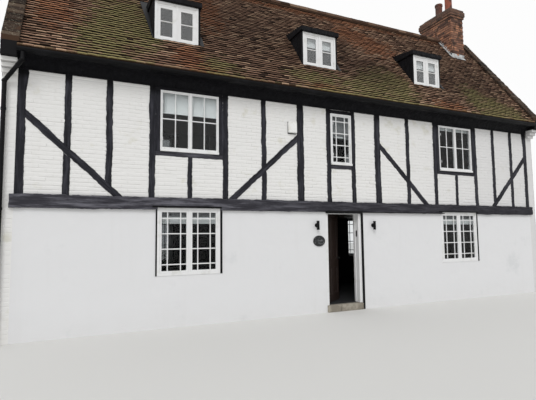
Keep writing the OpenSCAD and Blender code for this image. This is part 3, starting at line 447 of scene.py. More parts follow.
# %% [markdown]
# ## Reading sizes off the solids
# A window bar or a brick has to fit the opening it is in. Rather than repeat numbers, the lesson asks
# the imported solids: a node that holds several like pieces is split into its separate bodies, and each
# gives its lowest and highest corner. The solids' triangles don't share corners, so a copy is merged
# first.

# %% Separate bodies of a node
def merged_copy(node):
    """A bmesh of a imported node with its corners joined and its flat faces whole."""
    bm = bmesh.new()
    bm.from_mesh(nodes[node].data)
    bmesh.ops.remove_doubles(bm, verts=bm.verts, dist=1e-5)
    bmesh.ops.dissolve_limit(bm, angle_limit=math.radians(1), verts=bm.verts, edges=bm.edges)
    return bm


def islands(bm):
    """The separate bodies of a bmesh, as lists of vertices."""
    left, found = set(bm.verts), []
    for start in bm.verts:
        if start not in left:
            continue
        left.remove(start)
        body, edge_of_body = [], [start]
        while edge_of_body:
            vert = edge_of_body.pop()
            body.append(vert)
            for other in (e.other_vert(vert) for e in vert.link_edges):
                if other in left:
                    left.remove(other)
                    edge_of_body.append(other)
        found.append(body)
    return found


def bodies_of(node):
    """Lowest and highest corner of every separate body in a node."""
    bm = merged_copy(node)
    clouds = [np.array([v.co for v in body]) for body in islands(bm)]
    bm.free()
    return sorted(((c.min(0), c.max(0)) for c in clouds), key=lambda c: tuple(np.round(c[0], 2)))


FIRST_FLOOR, ATTIC = 2, 5
panes = bodies_of("window_glass")
window_holes = bodies_of("ground_window_frames") + bodies_of("first_window_frames")
dormer_holes = bodies_of("dormer_window_frames")
stack_low, stack_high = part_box("chimney_stack")
front_low, front_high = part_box("front_infill")
half_depth = -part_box("front_wall_left")[0].y
party_low, party_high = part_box("party_wall_right")
print(len(panes), "panes,", len(window_holes), "wall windows,", len(dormer_holes), "dormers")

# %% [markdown]
# ## Finishing a piece
# Every new piece ends the same way: its mesh gets a material, it becomes an object, it rides on the
# house or the door, and the solid it replaces, if any, is hidden.

# %% Make a piece
def mesh_of(bm, name):
    """Turns a bmesh into a mesh."""
    made = bpy.data.meshes.new(name)
    bm.to_mesh(made)
    bm.free()
    return made


def piece(name, mesh, material, body="house", slot=None, replaces=()):
    """Turns a mesh into a piece of the house."""
    if isinstance(mesh, bmesh.types.BMesh):
        mesh = mesh_of(mesh, name)
    mesh.materials.clear()
    mesh.materials.append(bpy.data.materials[material])
    thing = placed(name, mesh)
    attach(thing, body)
    if replaces:
        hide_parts(*replaces)
    mesh.calc_loop_triangles()
    print(f"{name}: {len(mesh.loop_triangles)} triangles")
    return thing


def bevel(bm, edges, width, segments, clamp=False):
    """Rounds some edges."""
    bmesh.ops.bevel(bm, geom=edges, offset=width, segments=segments, profile=0.5, affect="EDGES",
                    material=-1, clamp_overlap=clamp)


def soften(bm, width, above=0.5):
    """Rounds every edge that turns by more than an angle."""
    sharp = [e for e in bm.edges if len(e.link_faces) == 2 and e.calc_face_angle(0) > above]
    bevel(bm, sharp, width, 2, clamp=True)


def whole(bm):
    return bm.verts[:] + bm.edges[:] + bm.faces[:]


def block(bm, low, high, width=0.0, segments=1):
    """Adds a box between two corners, with softened edges if asked."""
    low, high = Vector(low), Vector(high)
    made = bmesh.ops.create_cube(bm, size=1.0)["verts"]
    bmesh.ops.scale(bm, vec=high - low, verts=made)
    bmesh.ops.translate(bm, vec=(low + high) / 2, verts=made)
    if width:
        bevel(bm, list({e for v in made for e in v.link_edges}), width, segments)

# %% [markdown]
# ## Aged oak
# The frame's timbers were cut by hand and have been painted many times, so their edges wander by a
# centimetre and no arris is sharp. Each timber node is copied, its edges are bevelled, and planes
# slice it every two fingers' breadth. The slices give the noise corners to push. The noise depends only on
# place, so two timbers that meet are pushed alike and stay tight. Near a window it fades, because the
# frames are straight.

# %% Timber with worn edges
SLICE = 0.045
FADE = 0.09
SLENDER = 0.35


def wander(point, lift):
    """How far the hewn surface strays at a point: not at all beside a window frame."""
    stray = (noise.noise_vector(point * 2.3) + noise.noise_vector(point * 16.0) * 0.8) * lift
    stray.y *= 0.3
    beside = 1 - min([1.0] + [math.hypot(max(low[0] - point.x, 0, point.x - high[0]),
                                         max(low[2] - point.z, 0, point.z - high[2])) / FADE
                              for low, high in window_holes])
    return stray * (1 - beside)


def lean_of(points):
    """Lean of a timber from the upright, read off the spread of its corners."""
    spread = points.max(0) - points.min(0)
    if spread[0] < SLENDER * spread[2]:
        return 0.0
    if spread[2] < SLENDER * spread[0]:
        return math.pi / 2
    return math.atan2(-1, np.polyfit(points[:, 0], points[:, 2], 1)[0])


for node, lift in (("bressummers", 0.017), ("posts", 0.014), ("studs", 0.014), ("braces", 0.014),
                   ("window_rails", 0.01)):
    bm = merged_copy(node)
    lean = bm.faces.layers.float.new("lean")
    for body in islands(bm):
        tilt = lean_of(np.array([v.co for v in body]))
        for face in {f for v in body for f in v.link_faces}:
            face[lean] = tilt
    soften(bm, 0.006, 0.6)
    low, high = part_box(node)
    for axis in (0, 2):
        normal = Vector((axis == 0, 0, axis == 2))
        for at in np.arange(low[axis] + SLICE / 2, high[axis], SLICE):
            bmesh.ops.bisect_plane(bm, geom=whole(bm), plane_co=normal * float(at), plane_no=normal)
    for vert in bm.verts:
        vert.co += wander(vert.co, lift)
    piece(node + "_aged", bm, "black_timber", replaces=[node])

# %% [markdown]
# ## Laying small units
# Bricks and tiles are laid the way a bricklayer does it: one unit, many places. A single unit is shaped
# with operators and repeated by an Array modifier. Then each copy is moved in the wall's own flat
# coordinates (along, up, out), nudged and tilted a little by seeded chance, trimmed where it meets an
# edge, and only then set on the wall. Trimming pulls a unit's corners back to the line, as a cut brick
# ends there, so every unit stays closed. Its shade is stored on its faces as *tone*.

# %% Repeat, trim and set out
SLIVER = 0.012


def unit_solid(size, width, segments=1, crown=0.0, crisp_ends=1.0):
    """One brick or tile: its outer edges are softened, its ends less so, and its face is slightly crowned."""
    bm = bmesh.new()
    size = (size[0] * crisp_ends, *size[1:])
    block(bm, (-size[0] / 2, -size[1] / 2, -size[2]), (size[0] / 2, size[1] / 2, 0))
    if crown:
        across = [e for e in bm.edges if abs((e.verts[0].co - e.verts[1].co).x) > size[0] / 2]
        bmesh.ops.subdivide_edges(bm, edges=across, cuts=2, use_grid_fill=True)
        for vert in bm.verts:
            vert.co.z += crown * (1 - (2 * vert.co.x / size[0]) ** 2)
    if width:
        bevel(bm, [e for e in bm.edges if min(v.co.z for v in e.verts) > -0.001], width, segments)
    bmesh.ops.scale(bm, vec=(1 / crisp_ends, 1, 1), verts=bm.verts)
    return bm


def unit_mesh(*size_and_edges, **options):
    return mesh_of(unit_solid(*size_and_edges, **options), "unit")


def repeated(unit, count):
    """One mesh that holds the unit many times over."""
    maker = placed("maker", unit)
    array = maker.modifiers.new("Array", "ARRAY")
    array.count = count
    array.relative_offset_displace = (0, 0, 0)
    bpy.context.view_layer.update()
    mesh = bpy.data.meshes.new_from_object(maker.evaluated_get(bpy.context.evaluated_depsgraph_get()))
    bpy.data.objects.remove(maker)
    return mesh


def points_of(mesh):
    """The vertices of a mesh as an array."""
    flat = np.empty(len(mesh.vertices) * 3)
    mesh.vertices.foreach_get("co", flat)
    return flat.reshape(-1, 3)


def between(low, high):
    """A trim that cuts units back to a lower and a higher line along the wall."""
    def trim(points):
        points[..., 0] = np.clip(points[..., 0], low, high)
    return trim


def outside(x0, x1, z0, z1):
    """A trim that cuts the units at a hole back to its nearer side, and drops those inside."""
    def trim(points):
        low, high, middle = points.min(1), points.max(1), points.mean(1)
        reach = (high[:, 0] > x0) & (low[:, 0] < x1) & (middle[:, 1] > z0) & (middle[:, 1] < z1)
        to_left = reach & (middle[:, 0] < (x0 + x1) / 2)
        to_right = reach & ~to_left
        points[to_left, :, 0] = np.minimum(points[to_left, :, 0], x0)
        points[to_right, :, 0] = np.maximum(points[to_right, :, 0], x1)
    return trim


def set_out(unit, spots, origin, along, upwards, tilt=0.004, lift=0.001, trims=()):
    """Lays a unit at spots (along, up) on a plane, and gives the corners of all of them."""
    count = len(spots)
    slopes = rng.normal(0, tilt, (count, 2))
    points = np.repeat(points_of(unit)[None], count, 0)
    points[..., 2] += points[..., 0] * slopes[:, :1] + points[..., 1] * slopes[:, 1:]
    points[..., 2] += rng.normal(0, lift, (count, 1))
    points[..., 1] += points[..., 0] * rng.normal(0, tilt, (count, 1))
    points[..., :2] += np.array(spots)[:, None, :]
    for trim in trims:
        trim(points)
    size = points.max(1) - points.min(1)
    points = points[(size[:, 0] > SLIVER) & (size[:, 1] > SLIVER)]
    along, upwards = Vector(along), Vector(upwards)
    return points @ np.array([along, upwards, along.cross(upwards)]) + np.array(origin)


def hold(mesh, name, domain, values):
    """Stores a number for each face or point, for the paint to read."""
    mesh.attributes.new(name, "FLOAT", domain).data.foreach_set("value", values.astype(np.float32))


def lay(name, unit, fields, material, marks=lambda points: {}, lapped=False, **options):
    """Makes one piece of all the units that were set out, and marks each with values for its paint."""
    points = np.concatenate(fields)
    mesh = repeated(unit, len(points))
    mesh.vertices.foreach_set("co", points.ravel())
    tones = np.clip(rng.normal(0.5, 0.26, len(points)), 0, 1)
    for mark, values in {"tone": tones, **marks(points.mean(1))}.items():
        hold(mesh, mark, "FACE", np.repeat(values, len(unit.polygons)))
    if lapped:
        reach = points_of(unit)[:, 1]
        hold(mesh, "reach", "POINT", np.tile(reach - reach.min(), len(points)))
    mesh.update()
    return piece(name, mesh, material, **options)


def courses(length, height, unit_length, unit_height, start=(0.0, 0.0)):
    """Spots of a running bond: rows of units, every second row shifted by half a unit."""
    return [(start[0] + (row % 2) * 0.5 * unit_length + (i + 0.5) * unit_length,
             start[1] + (row + 0.5) * unit_height)
            for row in range(math.ceil(height / unit_height))
            for i in range(-1, math.ceil(length / unit_length) + 1)]


def turned_round(points):
    """The same pieces on the other side of the house."""
    return points * np.array([-1, -1, 1])

# %% [markdown]
# ## Painted brickwork
# The panels between the timbers are one brick skin in running bond, four courses to 300 mm. Under
# many coats of paint the joints are only soft grooves, so the brick unit has a wide, shallow bevel and
# stands 5 mm out of the panel.

# %% Bricks of the panels
COURSE, BRICK = 0.075, 0.225
ALONG, UPRIGHT = (1, 0, 0), (0, 0, 1)
soft_brick = unit_mesh((BRICK - 0.001, COURSE - 0.006, 0.014), 0.013, segments=2, crisp_ends=5.0)
spots = [(x, z + 0.013 * noise.noise((x * 1.3, z * 2.0, 3.0)))
         for x, z in courses(front_high.x - front_low.x, front_high.z - front_low.z, BRICK, COURSE,
                             start=(front_low.x, front_low.z))]
for name, sign in (("front_bricks", 1), ("rear_bricks", -1)):
    trims = [between(front_low.x, front_high.x)]
    for low, high in window_holes:
        if low[1] * sign < 0 and low[2] > FIRST_FLOOR:
            trims.append(outside(*sorted((sign * low[0], sign * high[0])), low[2], front_high.z))
    field = set_out(soft_brick, spots, (0, front_low.y - 0.005, 0), ALONG, UPRIGHT, 0.009, 0.0018, trims)
    lay(name, soft_brick, [field if sign == 1 else turned_round(field)], "painted_brick")

# %% [markdown]
# ## Party walls
# The house ends at plain party walls. Their narrow ends show beside the frame, with a kneeler of four
# stepped courses under the eaves, and their broad outer faces are plain brickwork up to the copings.
# The undersides of a kneeler's courses are painted darker as shade, and its topmost course is black like the
# cornice.
# The raking top is a straight line on each side of the ridge, so one rule trims both.

# %% Bricks of the party walls
STEPS, STEP = 4, 0.075
PITCH = math.radians(53.5)
tile_rise = math.tan(PITCH)
party_w = party_high.x - party_low.x
kneeler_out = half_depth + STEPS * STEP
kneeler_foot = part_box("wall_plates")[0].z - 0.05 - STEPS * COURSE


def trim_gable(points):
    """Cuts bricks back to the raking tops, the steps of the kneelers and the wall's own faces."""
    points[..., 0] = np.clip(points[..., 0], -kneeler_out, kneeler_out)
    steps = np.ceil((points[..., 1] - kneeler_foot) / COURSE - 0.02).clip(0, STEPS)
    reach = half_depth + steps.max(1, keepdims=True) * STEP
    points[..., 0] = np.clip(points[..., 0], -reach, reach)
    points[..., 1] = np.minimum(points[..., 1], party_high.z - np.abs(points[..., 0]) * tile_rise)


spots = courses(2 * kneeler_out, party_high.z, BRICK, COURSE, start=(-kneeler_out, 0))
gable = set_out(soft_brick, spots, (party_high.x + 0.003, 0, 0), (0, 1, 0), UPRIGHT, trims=[trim_gable])
lay("party_bricks", soft_brick, [gable, turned_round(gable)], "painted_brick")

for name, length, first_row, shifts in (("end_stretchers", party_w - 0.004, 0, [0.5]),
                                        ("end_headers", party_w / 2 - 0.006, 1, [0.25, 0.75])):
    unit = unit_mesh((length, COURSE - 0.006, 0.012), 0.011, segments=2)
    fields = []
    for row in range(first_row, round(kneeler_foot / COURSE), 2):
        for side in (party_low.x, -party_high.x):
            spots = [(side + party_w * shift, (row + 0.5) * COURSE) for shift in shifts]
            fields.append(set_out(unit, spots, (0, -half_depth - 0.003, 0), ALONG, UPRIGHT))
    lay(name, unit, fields + [turned_round(f) for f in fields], "painted_brick")

# %% Corbelled courses of the kneelers
DROP = 0.02
bm = bmesh.new()
white_unshaded = bm.faces.layers.float.new("white_unshaded")
for side in (party_low.x, -party_high.x):
    for sign in (-1, 1):
        for step in range(1, STEPS + 1):
            near, far = sorted((sign * (half_depth + step * STEP + 0.006), sign * (half_depth + 0.02)))
            foot = kneeler_foot + (step - 1) * COURSE - DROP
            block(bm, (side - 0.006, near, foot + 0.002),
                  (side + party_w + 0.006, far, foot + COURSE), 0.006, 2)
# Undersides keep less white, a painted shade; the topmost course keeps none and turns black.
for face in bm.faces:
    if face.calc_center_median().z < kneeler_foot + (STEPS - 1) * COURSE - DROP:
        face[white_unshaded] = 1.0 if face.normal.z > -0.5 else 0.7
piece("kneeler_courses", bm, "painted_brick")

# %% [markdown]
# ## Plain tiles
# A plain tile is 165 mm wide and shows 82 mm of its length. Each lies on the one below, so its tail
# stands a tile's thickness proud and throws the small shadow that draws the courses. Every tile has a
# slight crown. The rows are trimmed to the dormers and the stack, as a tiler cuts them.

# %% Roof tiles
TILE_W, GAUGE, TILE_T = 0.165, 0.082, 0.016
roof_low, roof_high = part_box("roof_front")
slope_up = Vector((0, math.cos(PITCH), math.sin(PITCH)))
slope_out = Vector((0, -math.sin(PITCH), math.cos(PITCH)))
slope_foot = Vector((0, roof_low.y, roof_high.z - tile_rise * (0 - roof_low.y)))
slope_length = -roof_low.y / math.cos(PITCH)

bm = unit_solid((TILE_W - 0.003, GAUGE * 1.5, TILE_T), 0.0, crown=0.004)
bmesh.ops.translate(bm, vec=(0, GAUGE * 0.75, TILE_T + 0.004), verts=bm.verts)
lap = Matrix.Rotation(-math.atan2(TILE_T, GAUGE), 3, "X")
bmesh.ops.rotate(bm, cent=(0, 0, 0), matrix=lap, verts=bm.verts)
tile = mesh_of(bm, "unit")

# Patches of the roof, each as x, z, half width and half height
BURNT = [(-6.0, 6.0, 0.5, 0.5), (-5.6, 7.2, 0.9, 0.5), (-3.6, 5.35, 0.35, 0.35), (-2.9, 7.0, 0.5, 0.9),
         (-3.2, 5.0, 0.5, 0.25), (-0.5, 5.0, 0.6, 0.2), (1.4, 7.4, 0.6, 0.5), (2.2, 7.0, 0.7, 0.5),
         (3.3, 5.05, 0.7, 0.2), (0.5, 8.0, 6.0, 0.13)]
# DIM dims tiles: painted shade to the right of the dormers, and darker patches elsewhere and along the ridge.
DIM = [(-2.0, 6.6, 1.9, 1.2), (0.75, 6.4, 0.4, 0.7), (1.4, 5.9, 0.8, 0.6), (4.0, 6.3, 1.1, 1.1),
       (5.7, 6.4, 0.7, 0.9), (0.0, 8.25, 9.0, 0.15)]
MOSSY = [(-5.2, 5.3, 0.6, 0.6), (-4.8, 6.3, 0.7, 0.8), (-4.3, 5.8, 0.3, 0.5), (-3.0, 5.2, 0.5, 0.3),
         (-0.9, 5.3, 0.7, 0.25), (0.8, 5.2, 1.2, 0.5), (1.7, 5.6, 0.8, 0.6), (4.7, 5.5, 0.6, 0.7),
         (5.6, 5.2, 0.8, 0.5), (0.0, 4.85, 9.0, 0.12)]


def marks_of_weather_and_shade(points):
    """Rust, moss and dimness of tiles, the dimness in places a painted shade, alike on both sides of the
    ridge when seen from outside.
    """
    marks = {}
    x = points[:, 0] * np.where(points[:, 1] < 0, 1, -1)
    for name, spread in (("rust", BURNT), ("moss", MOSSY), ("dim", DIM)):
        share = np.zeros(len(points))
        for at_x, at_z, wide, tall in spread:
            share += np.exp(-((x - at_x) / wide) ** 2 - ((points[:, 2] - at_z) / tall) ** 2)
        marks[name] = share.clip(0, 1)
    return marks


def slope_distance(y):
    """How far up the slope a tile lies that is at y."""
    return (y - roof_low.y) / math.cos(PITCH)


spots = [(x, row * GAUGE + 0.006 + 0.011 * noise.noise((x * 0.9, row * 0.8, 0)))
         for row in range(int(slope_length / GAUGE))
         for x in np.arange(roof_low.x - (row % 2) * TILE_W / 2, roof_high.x + TILE_W, TILE_W)]
verge = between(roof_low.x + 0.004, roof_high.x - 0.004)
cheeks = bodies_of("dormer_cheeks")
dormers = list(zip(cheeks[0::2], cheeks[1::2], bodies_of("dormer_roofs")))
front_trims = [verge] + [outside(left[0][0] + 0.01, right[1][0] - 0.01, slope_distance(left[0][1]),
                                 slope_distance(top[1][1]) - 0.03) for left, right, top in dormers]
front_trims.append(outside(stack_low.x, stack_high.x, slope_distance(stack_low.y), slope_length + 1))
rear_trims = [verge, outside(-stack_high.x, -stack_low.x, slope_distance(-stack_high.y), slope_length + 1)]
for name, trims in (("front_tiles", front_trims), ("rear_tiles", rear_trims)):
    field = set_out(tile, spots, slope_foot, ALONG, slope_up, 0.018, 0.0028, trims)
    lay(name, tile, [field if name == "front_tiles" else turned_round(field)], "roof_tile",
        marks=marks_of_weather_and_shade, lapped=True)

# %% [markdown]
# ## Ridge tiles and copings
# Half-round ridge tiles sit in mortar along the top. One is spun from a small rectangle, half a turn
# about the ridge, and then set out along it with narrow joints that show the mortar solid between.

# %% Ridge
RIDGE_LEN, RIDGE_T = 0.3, 0.014
ridge_bodies = bodies_of("ridge_tiles")
ridge_radius = (ridge_bodies[0][1][1] - ridge_bodies[0][0][1]) / 2
bm = bmesh.new()
block(bm, (-RIDGE_LEN / 2 + 0.005, ridge_radius - 0.004, -0.002),
      (RIDGE_LEN / 2 - 0.005, ridge_radius - 0.004 + RIDGE_T, 0))
bottom = [f for f in bm.faces if f.normal.z < -0.5]
bmesh.ops.delete(bm, geom=[f for f in bm.faces if f not in bottom], context="FACES")
bmesh.ops.spin(bm, geom=bm.faces[:] + bm.edges[:] + bm.verts[:], cent=(0, 0, 0), axis=ALONG, angle=math.pi,
               steps=14)
bmesh.ops.holes_fill(bm, edges=bm.edges)
bmesh.ops.recalc_face_normals(bm, faces=bm.faces)
half_round = mesh_of(bm, "ridge_tile")
fields = []
for low, high in ridge_bodies:
    number = round((high[0] - low[0]) / RIDGE_LEN)
    pitch = (high[0] - low[0]) / number
    spots = [(low[0] + (i + 0.5) * pitch, 0) for i in range(number)]
    fields.append(set_out(half_round, spots, (0, 0, high[2] - ridge_radius), ALONG, (0, 1, 0), 0.006, 0.003))
lay("ridge_caps", half_round, fields, "roof_tile",
    marks=lambda points: {**marks_of_weather_and_shade(points), "dim": np.full(len(points), 1.4)})

# %% Copings
# Bricks on edge ride up both rakes of each party wall
COPING_STEP = 0.108
fields = []
for low, high in bodies_of("parapet_copings"):
    width, foot = high[0] - low[0], -low[1]
    coping_unit = unit_mesh((width + 0.006, COPING_STEP - 0.009, 0.05), 0.007, segments=2)
    number = int(foot / math.cos(PITCH) / COPING_STEP)
    spots = [(low[0] + width / 2, (i + 0.5) * COPING_STEP) for i in range(number)]
    line = set_out(coping_unit, spots, Vector((0, -foot, high[2] - foot * tile_rise)) + slope_out * 0.004,
                   ALONG, slope_up, 0.02, 0.004)
    fields += [line, turned_round(line) + np.array([low[0] + high[0], 0, 0])]
lay("coping_bricks", coping_unit, fields, "coping", slot="roof_tile")

# %% [markdown]
# ## The stack
# The stack is one mortar solid in the model. Here it gets its bricks on all four sides, in courses that
# break joint round the corners, up to the projecting courses of the cap.

# %% Chimney bricks
JOINT = 0.012


def ring(low, high, z0, z1, out):
    """Bricks round a rectangular stack between two heights."""
    fields = []
    corners = [(low.x - out, low.y - out), (high.x + out, low.y - out),
               (high.x + out, high.y + out), (low.x - out, high.y + out)]
    for side in range(4):
        start, stop = Vector((*corners[side], 0)), Vector((*corners[(side + 1) % 4], 0))
        run = (stop - start).length
        along = (stop - start).normalized()
        length = run / (round(run / BRICK * 2) / 2)
        brick = unit_mesh((length - JOINT, COURSE - JOINT, 0.03), 0.006)
        half = (side % 2) * 0.5 * length
        spots = [(s - half, h) for s, h in courses(run, z1 - z0, length, COURSE)]
        fields.append(set_out(brick, spots, start + Vector((0, 0, z0)) + along.cross(Vector(UPRIGHT)) * 0.006,
                              along, UPRIGHT, 0.01, 0.002, [between(-0.006, run + 0.006)]))
    return fields


cap_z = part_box("chimney_cap")[0].z
stack_brick = unit_mesh((BRICK - JOINT, COURSE - JOINT, 0.03), 0.006)
lay("stack_bricks", stack_brick, ring(stack_low, stack_high, cap_z - 22 * COURSE, cap_z, 0), "chimney_brick")
fields = []
for course, out in enumerate((0.025, 0.05, 0.05, 0.025)):
    z = cap_z + course * COURSE
    fields += ring(stack_low, stack_high, z, z + COURSE, out)
lay("cap_bricks", stack_brick, fields, "chimney_brick")

# %% [markdown]
# ## Glazing bars
# Three patterns of bars are set in the panes: margin panes on the ground floor and in the narrow
# middle window, crosses in the wide windows above, and a single rail in the dormers, whose panes also
# have broad beads. Each pane's own corners say which storey it is in and how long its bars are.

# %% Window bars
BAR_W, BAR_D = 0.022, 0.026
PROUD = 0.0004
BEAD_W, BEAD_H = 0.03, 0.045


def bar_places(width, height, low_z):
    """Upright and level bar lines of a pane, as distances from its left and lower edges."""
    if low_z > ATTIC:
        return [], [height * 0.5]
    if low_z < FIRST_FLOOR or width < 0.47:
        return [width * 0.235, width * 0.765], [height * share for share in (0.107, 0.369, 0.631, 0.893)]
    return [width / 2], [height * 0.52]


bm = bmesh.new()
for low, high in panes:
    y = (low[1] + high[1]) / 2
    uprights, levels = bar_places(high[0] - low[0], high[2] - low[2], low[2])
    for at in uprights:
        block(bm, (low[0] + at - BAR_W / 2, y - BAR_D / 2, low[2]),
              (low[0] + at + BAR_W / 2, y + BAR_D / 2, high[2]), 0.006)
    for at in levels:
        block(bm, (low[0], y - BAR_D / 2 - PROUD, low[2] + at - BAR_W / 2),
              (high[0], y + BAR_D / 2 + PROUD, low[2] + at + BAR_W / 2), 0.006)
    if low[2] > ATTIC:
        head = high[2] - BEAD_H
        for x0, x1, z0, z1 in ((low[0], low[0] + BEAD_W, low[2], head),
                               (high[0] - BEAD_W, high[0], low[2], head),
                               (low[0], high[0], head, high[2])):
            block(bm, (x0, y - 0.016, z0), (x1, y + 0.01, z1), 0.002)
piece("window_bars", bm, "white_joinery")

# %% [markdown]
# ## Soft arrises
# Sawn, cast and moulded pieces all have slightly round edges that catch the light. Each node is copied,
# its sharp edges are rounded, and the copy takes the node's place.

# %% Softened nodes
for node, width, material in (
        ("ground_window_frames", 0.004, "white_joinery"), ("first_window_frames", 0.004, "white_joinery"),
        ("dormer_window_frames", 0.004, "white_joinery"), ("casements", 0.003, "white_joinery"),
        ("door_frame", 0.004, "white_joinery"), ("side_strips", 0.003, "black_timber"),
        ("dormer_cheeks", 0.006, "black_timber"), ("dormer_roofs", 0.012, "black_timber"),
        ("wall_lights", 0.003, "black_plastic"), ("wall_plaque", 0.002, "plaque_metal"),
        ("door_pintles", 0.001, "black_iron"), ("doorstep", 0.012, "floor_stone"),
        ("door_straps", 0.001, "black_iron")):
    bm = merged_copy(node)
    soften(bm, width)
    piece(node + "_soft", bm, material, body="door" if node == "door_straps" else "house", replaces=[node])

# %% [markdown]
# ## The door's panels
# The leaf's sunk panels are fielded: each has a raised middle with a sloping margin, which two insets
# make out of the flat face. The faces are found by their size, so it works on the open leaf as it stands.

# %% Door leaf
bm = merged_copy("door_leaf")
sunk = [f for f in bm.faces if abs(f.normal.z) < 0.1 and len(f.verts) == 4 and 0.12 < f.calc_area() < 0.3]
for margin, rise in ((0.02, 0.0), (0.035, 0.006)):
    bmesh.ops.inset_individual(bm, faces=sunk, thickness=margin, depth=rise)
soften(bm, 0.003, 1.2)
piece("door_leaf_fielded", bm, "door_wood", body="door", replaces=["door_leaf"])

# %% [markdown]
# ## Roller blinds
# Every blind is a thin cloth with a slight belly, on a roller at its head and with a batten in its hem.
# They are drawn up a little further than their solids reach, each storey by its own length. The narrow
# window's cloth is sheer and looks grey; on the ground floor the cloth is a little grey all over and its
# head is painted grey as shade.

# %% Blinds
DRAWN_UP = {1.825: 0.12, 3.873: 0.07, 4.019: 0.09, 4.355: 0.085, 5.994: 0.165}
SLACK = 0.004
bm = bmesh.new()
sheer_and_shade = bm.faces.layers.float.new("sheer_and_shade")
for low, high in bodies_of("window_blinds"):
    low[2] += sum(rise for foot, rise in DRAWN_UP.items() if abs(low[2] - foot) < 0.01)
    before = len(bm.faces)
    cloth = bmesh.ops.create_grid(bm, x_segments=8, y_segments=10, size=0.5)["verts"]
    for vert in cloth:
        across, along = vert.co.x + 0.5, vert.co.y + 0.5
        vert.co = Vector((low[0] + SLACK + across * (high[0] - low[0] - 2 * SLACK),
                          (low[1] + high[1]) / 2 + 0.002 * math.sin(9 * across) * (1 - along),
                          low[2] + along * (high[2] - low[2])))
    sheet = list(dict.fromkeys(f for v in cloth for f in v.link_faces))
    bmesh.ops.solidify(bm, geom=sheet, thickness=0.001)
    for thick, edge, z0, z1 in ((0.003, 0.004, low[2], low[2] + 0.022),
                                (0.006, 0.006, high[2] - 0.03, high[2])):
        block(bm, (low[0] + 0.003, low[1] - thick, z0), (high[0] - 0.003, high[1] + thick, z1), edge)
    narrow, ground = high[0] - low[0] < 0.7 and low[2] < ATTIC, high[2] < 2.3
    for face in bm.faces[before:]:
        # The heads of the ground floor's blinds are painted grey as shade.
        shaded_head = ground and face.calc_center_median().z > high[2] - 0.13
        face[sheer_and_shade] = 1.0 if narrow or shaded_head else 0.3 * ground
piece("roller_blinds", bm, "blind", replaces=["window_blinds"])

# %% [markdown]
# ## Small fittings of the windows
# A black bead on the beam's lower edge over each ground-floor window and over the door is partly a black
# strip and partly painted shadow of the beam's overhang. The door's right strip is doubled, and a thin bead
# of painted shadow runs on under the beam to the right window. Every casement has two hinge knuckles on
# its outer stile.

# %% Beads and hinges
THIN_BEAD_END = 3.1


def street_face(low, high):
    """The y of a body's face that looks outwards."""
    return low[1] if low[1] < 0 else high[1]


beads, hinges = bmesh.new(), bmesh.new()
for low, high in bodies_of("ground_window_frames") + bodies_of("door_frame"):
    y = street_face(low, high)
    # Over each ground-floor window and the door: partly a black strip, partly painted shadow of the beam.
    face = math.copysign(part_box("bressummers")[1].y + 0.006, y)
    drop, past = (0.004, 0.1) if low[2] > 0.5 else (0.031, 0.0)
    block(beads, (low[0] - past, min(face, y), high[2] - drop),
          (high[0] + 0.02, max(face, y), high[2] + 0.03), 0.003)
for low, high in bodies_of("side_strips"):
    if low[2] < 0.5:
        block(beads, (high[0] - 0.01, low[1], low[2]), (high[0] + 0.018, high[1], high[2] - 0.001), 0.003)
        # A thin black bead under the beam runs on to the right window: painted shadow.
        block(beads, (high[0], -half_depth - 0.066, high[2] - 0.006),
              (THIN_BEAD_END, -half_depth, high[2] + 0.014), 0.003)
for low, high in window_holes + dormer_holes:
    inset = 0.04 if high[0] - low[0] > 1.0 else 0.05
    for x in (low[0] + inset, high[0] - inset):
        for share in (0.2, 0.8):
            knuckle = bmesh.ops.create_cone(hinges, cap_ends=True, segments=10, radius1=0.006, radius2=0.006,
                                            depth=0.06)["verts"]
            bmesh.ops.translate(hinges, vec=(x, street_face(low, high), low[2] + share * (high[2] - low[2])),
                                verts=knuckle)
piece("beads_and_beam_shadow", beads, "black_plastic")
piece("window_hinges", hinges, "white_joinery")

# %% [markdown]
# ## Gutters and cornice
# Straps carry the gutter every metre, and the cove has a bead along its foot and another along its edge.

# %% Gutter straps and cornice beads
def strap_round(bm, low, high, x, wide, thick):
    """A strap round a gutter's front and foot, seen in section and drawn out along it."""
    radius = 0.8 * (high[2] - low[2])
    turn = [math.pi / 2 * i / 6 for i in range(7)]
    bend = [(low[1] + radius * (1 - math.cos(a)), low[2] + radius * (1 - math.sin(a))) for a in turn]
    inner = [(low[1], high[2] - 0.004)] + bend + [(high[1], low[2])]
    outer = [(y - thick * (i < 7), z - thick * (i > 2)) for i, (y, z) in enumerate(inner)]
    rim = [bm.verts.new((x - wide / 2, y, z)) for y, z in inner + outer[::-1]]
    drawn = bmesh.ops.extrude_face_region(bm, geom=[bm.faces.new(rim)])["geom"]
    bmesh.ops.translate(bm, vec=(wide, 0, 0), verts=[g for g in drawn if isinstance(g, bmesh.types.BMVert)])


def both_sides(bm):
    """Adds the same pieces on the other side of the house."""
    copy = bmesh.ops.duplicate(bm, geom=whole(bm))["geom"]
    bmesh.ops.rotate(bm, cent=(0, 0, 0), matrix=Matrix.Rotation(math.pi, 3, "Z"),
                     verts=[g for g in copy if isinstance(g, bmesh.types.BMVert)])
    bmesh.ops.recalc_face_normals(bm, faces=bm.faces)


gutter_low, gutter_high = bodies_of("gutters")[0]
straps = bmesh.new()
for end, number, wide, thick in ((0.35, 13, 0.03, 0.004), (2.2, 4, 0.11, 0.006)):
    for x in np.linspace(gutter_low[0] + end, gutter_high[0] - end, number):
        strap_round(straps, gutter_low, gutter_high, float(x), wide, thick)
both_sides(straps)
piece("gutter_straps", straps, "black_plastic")

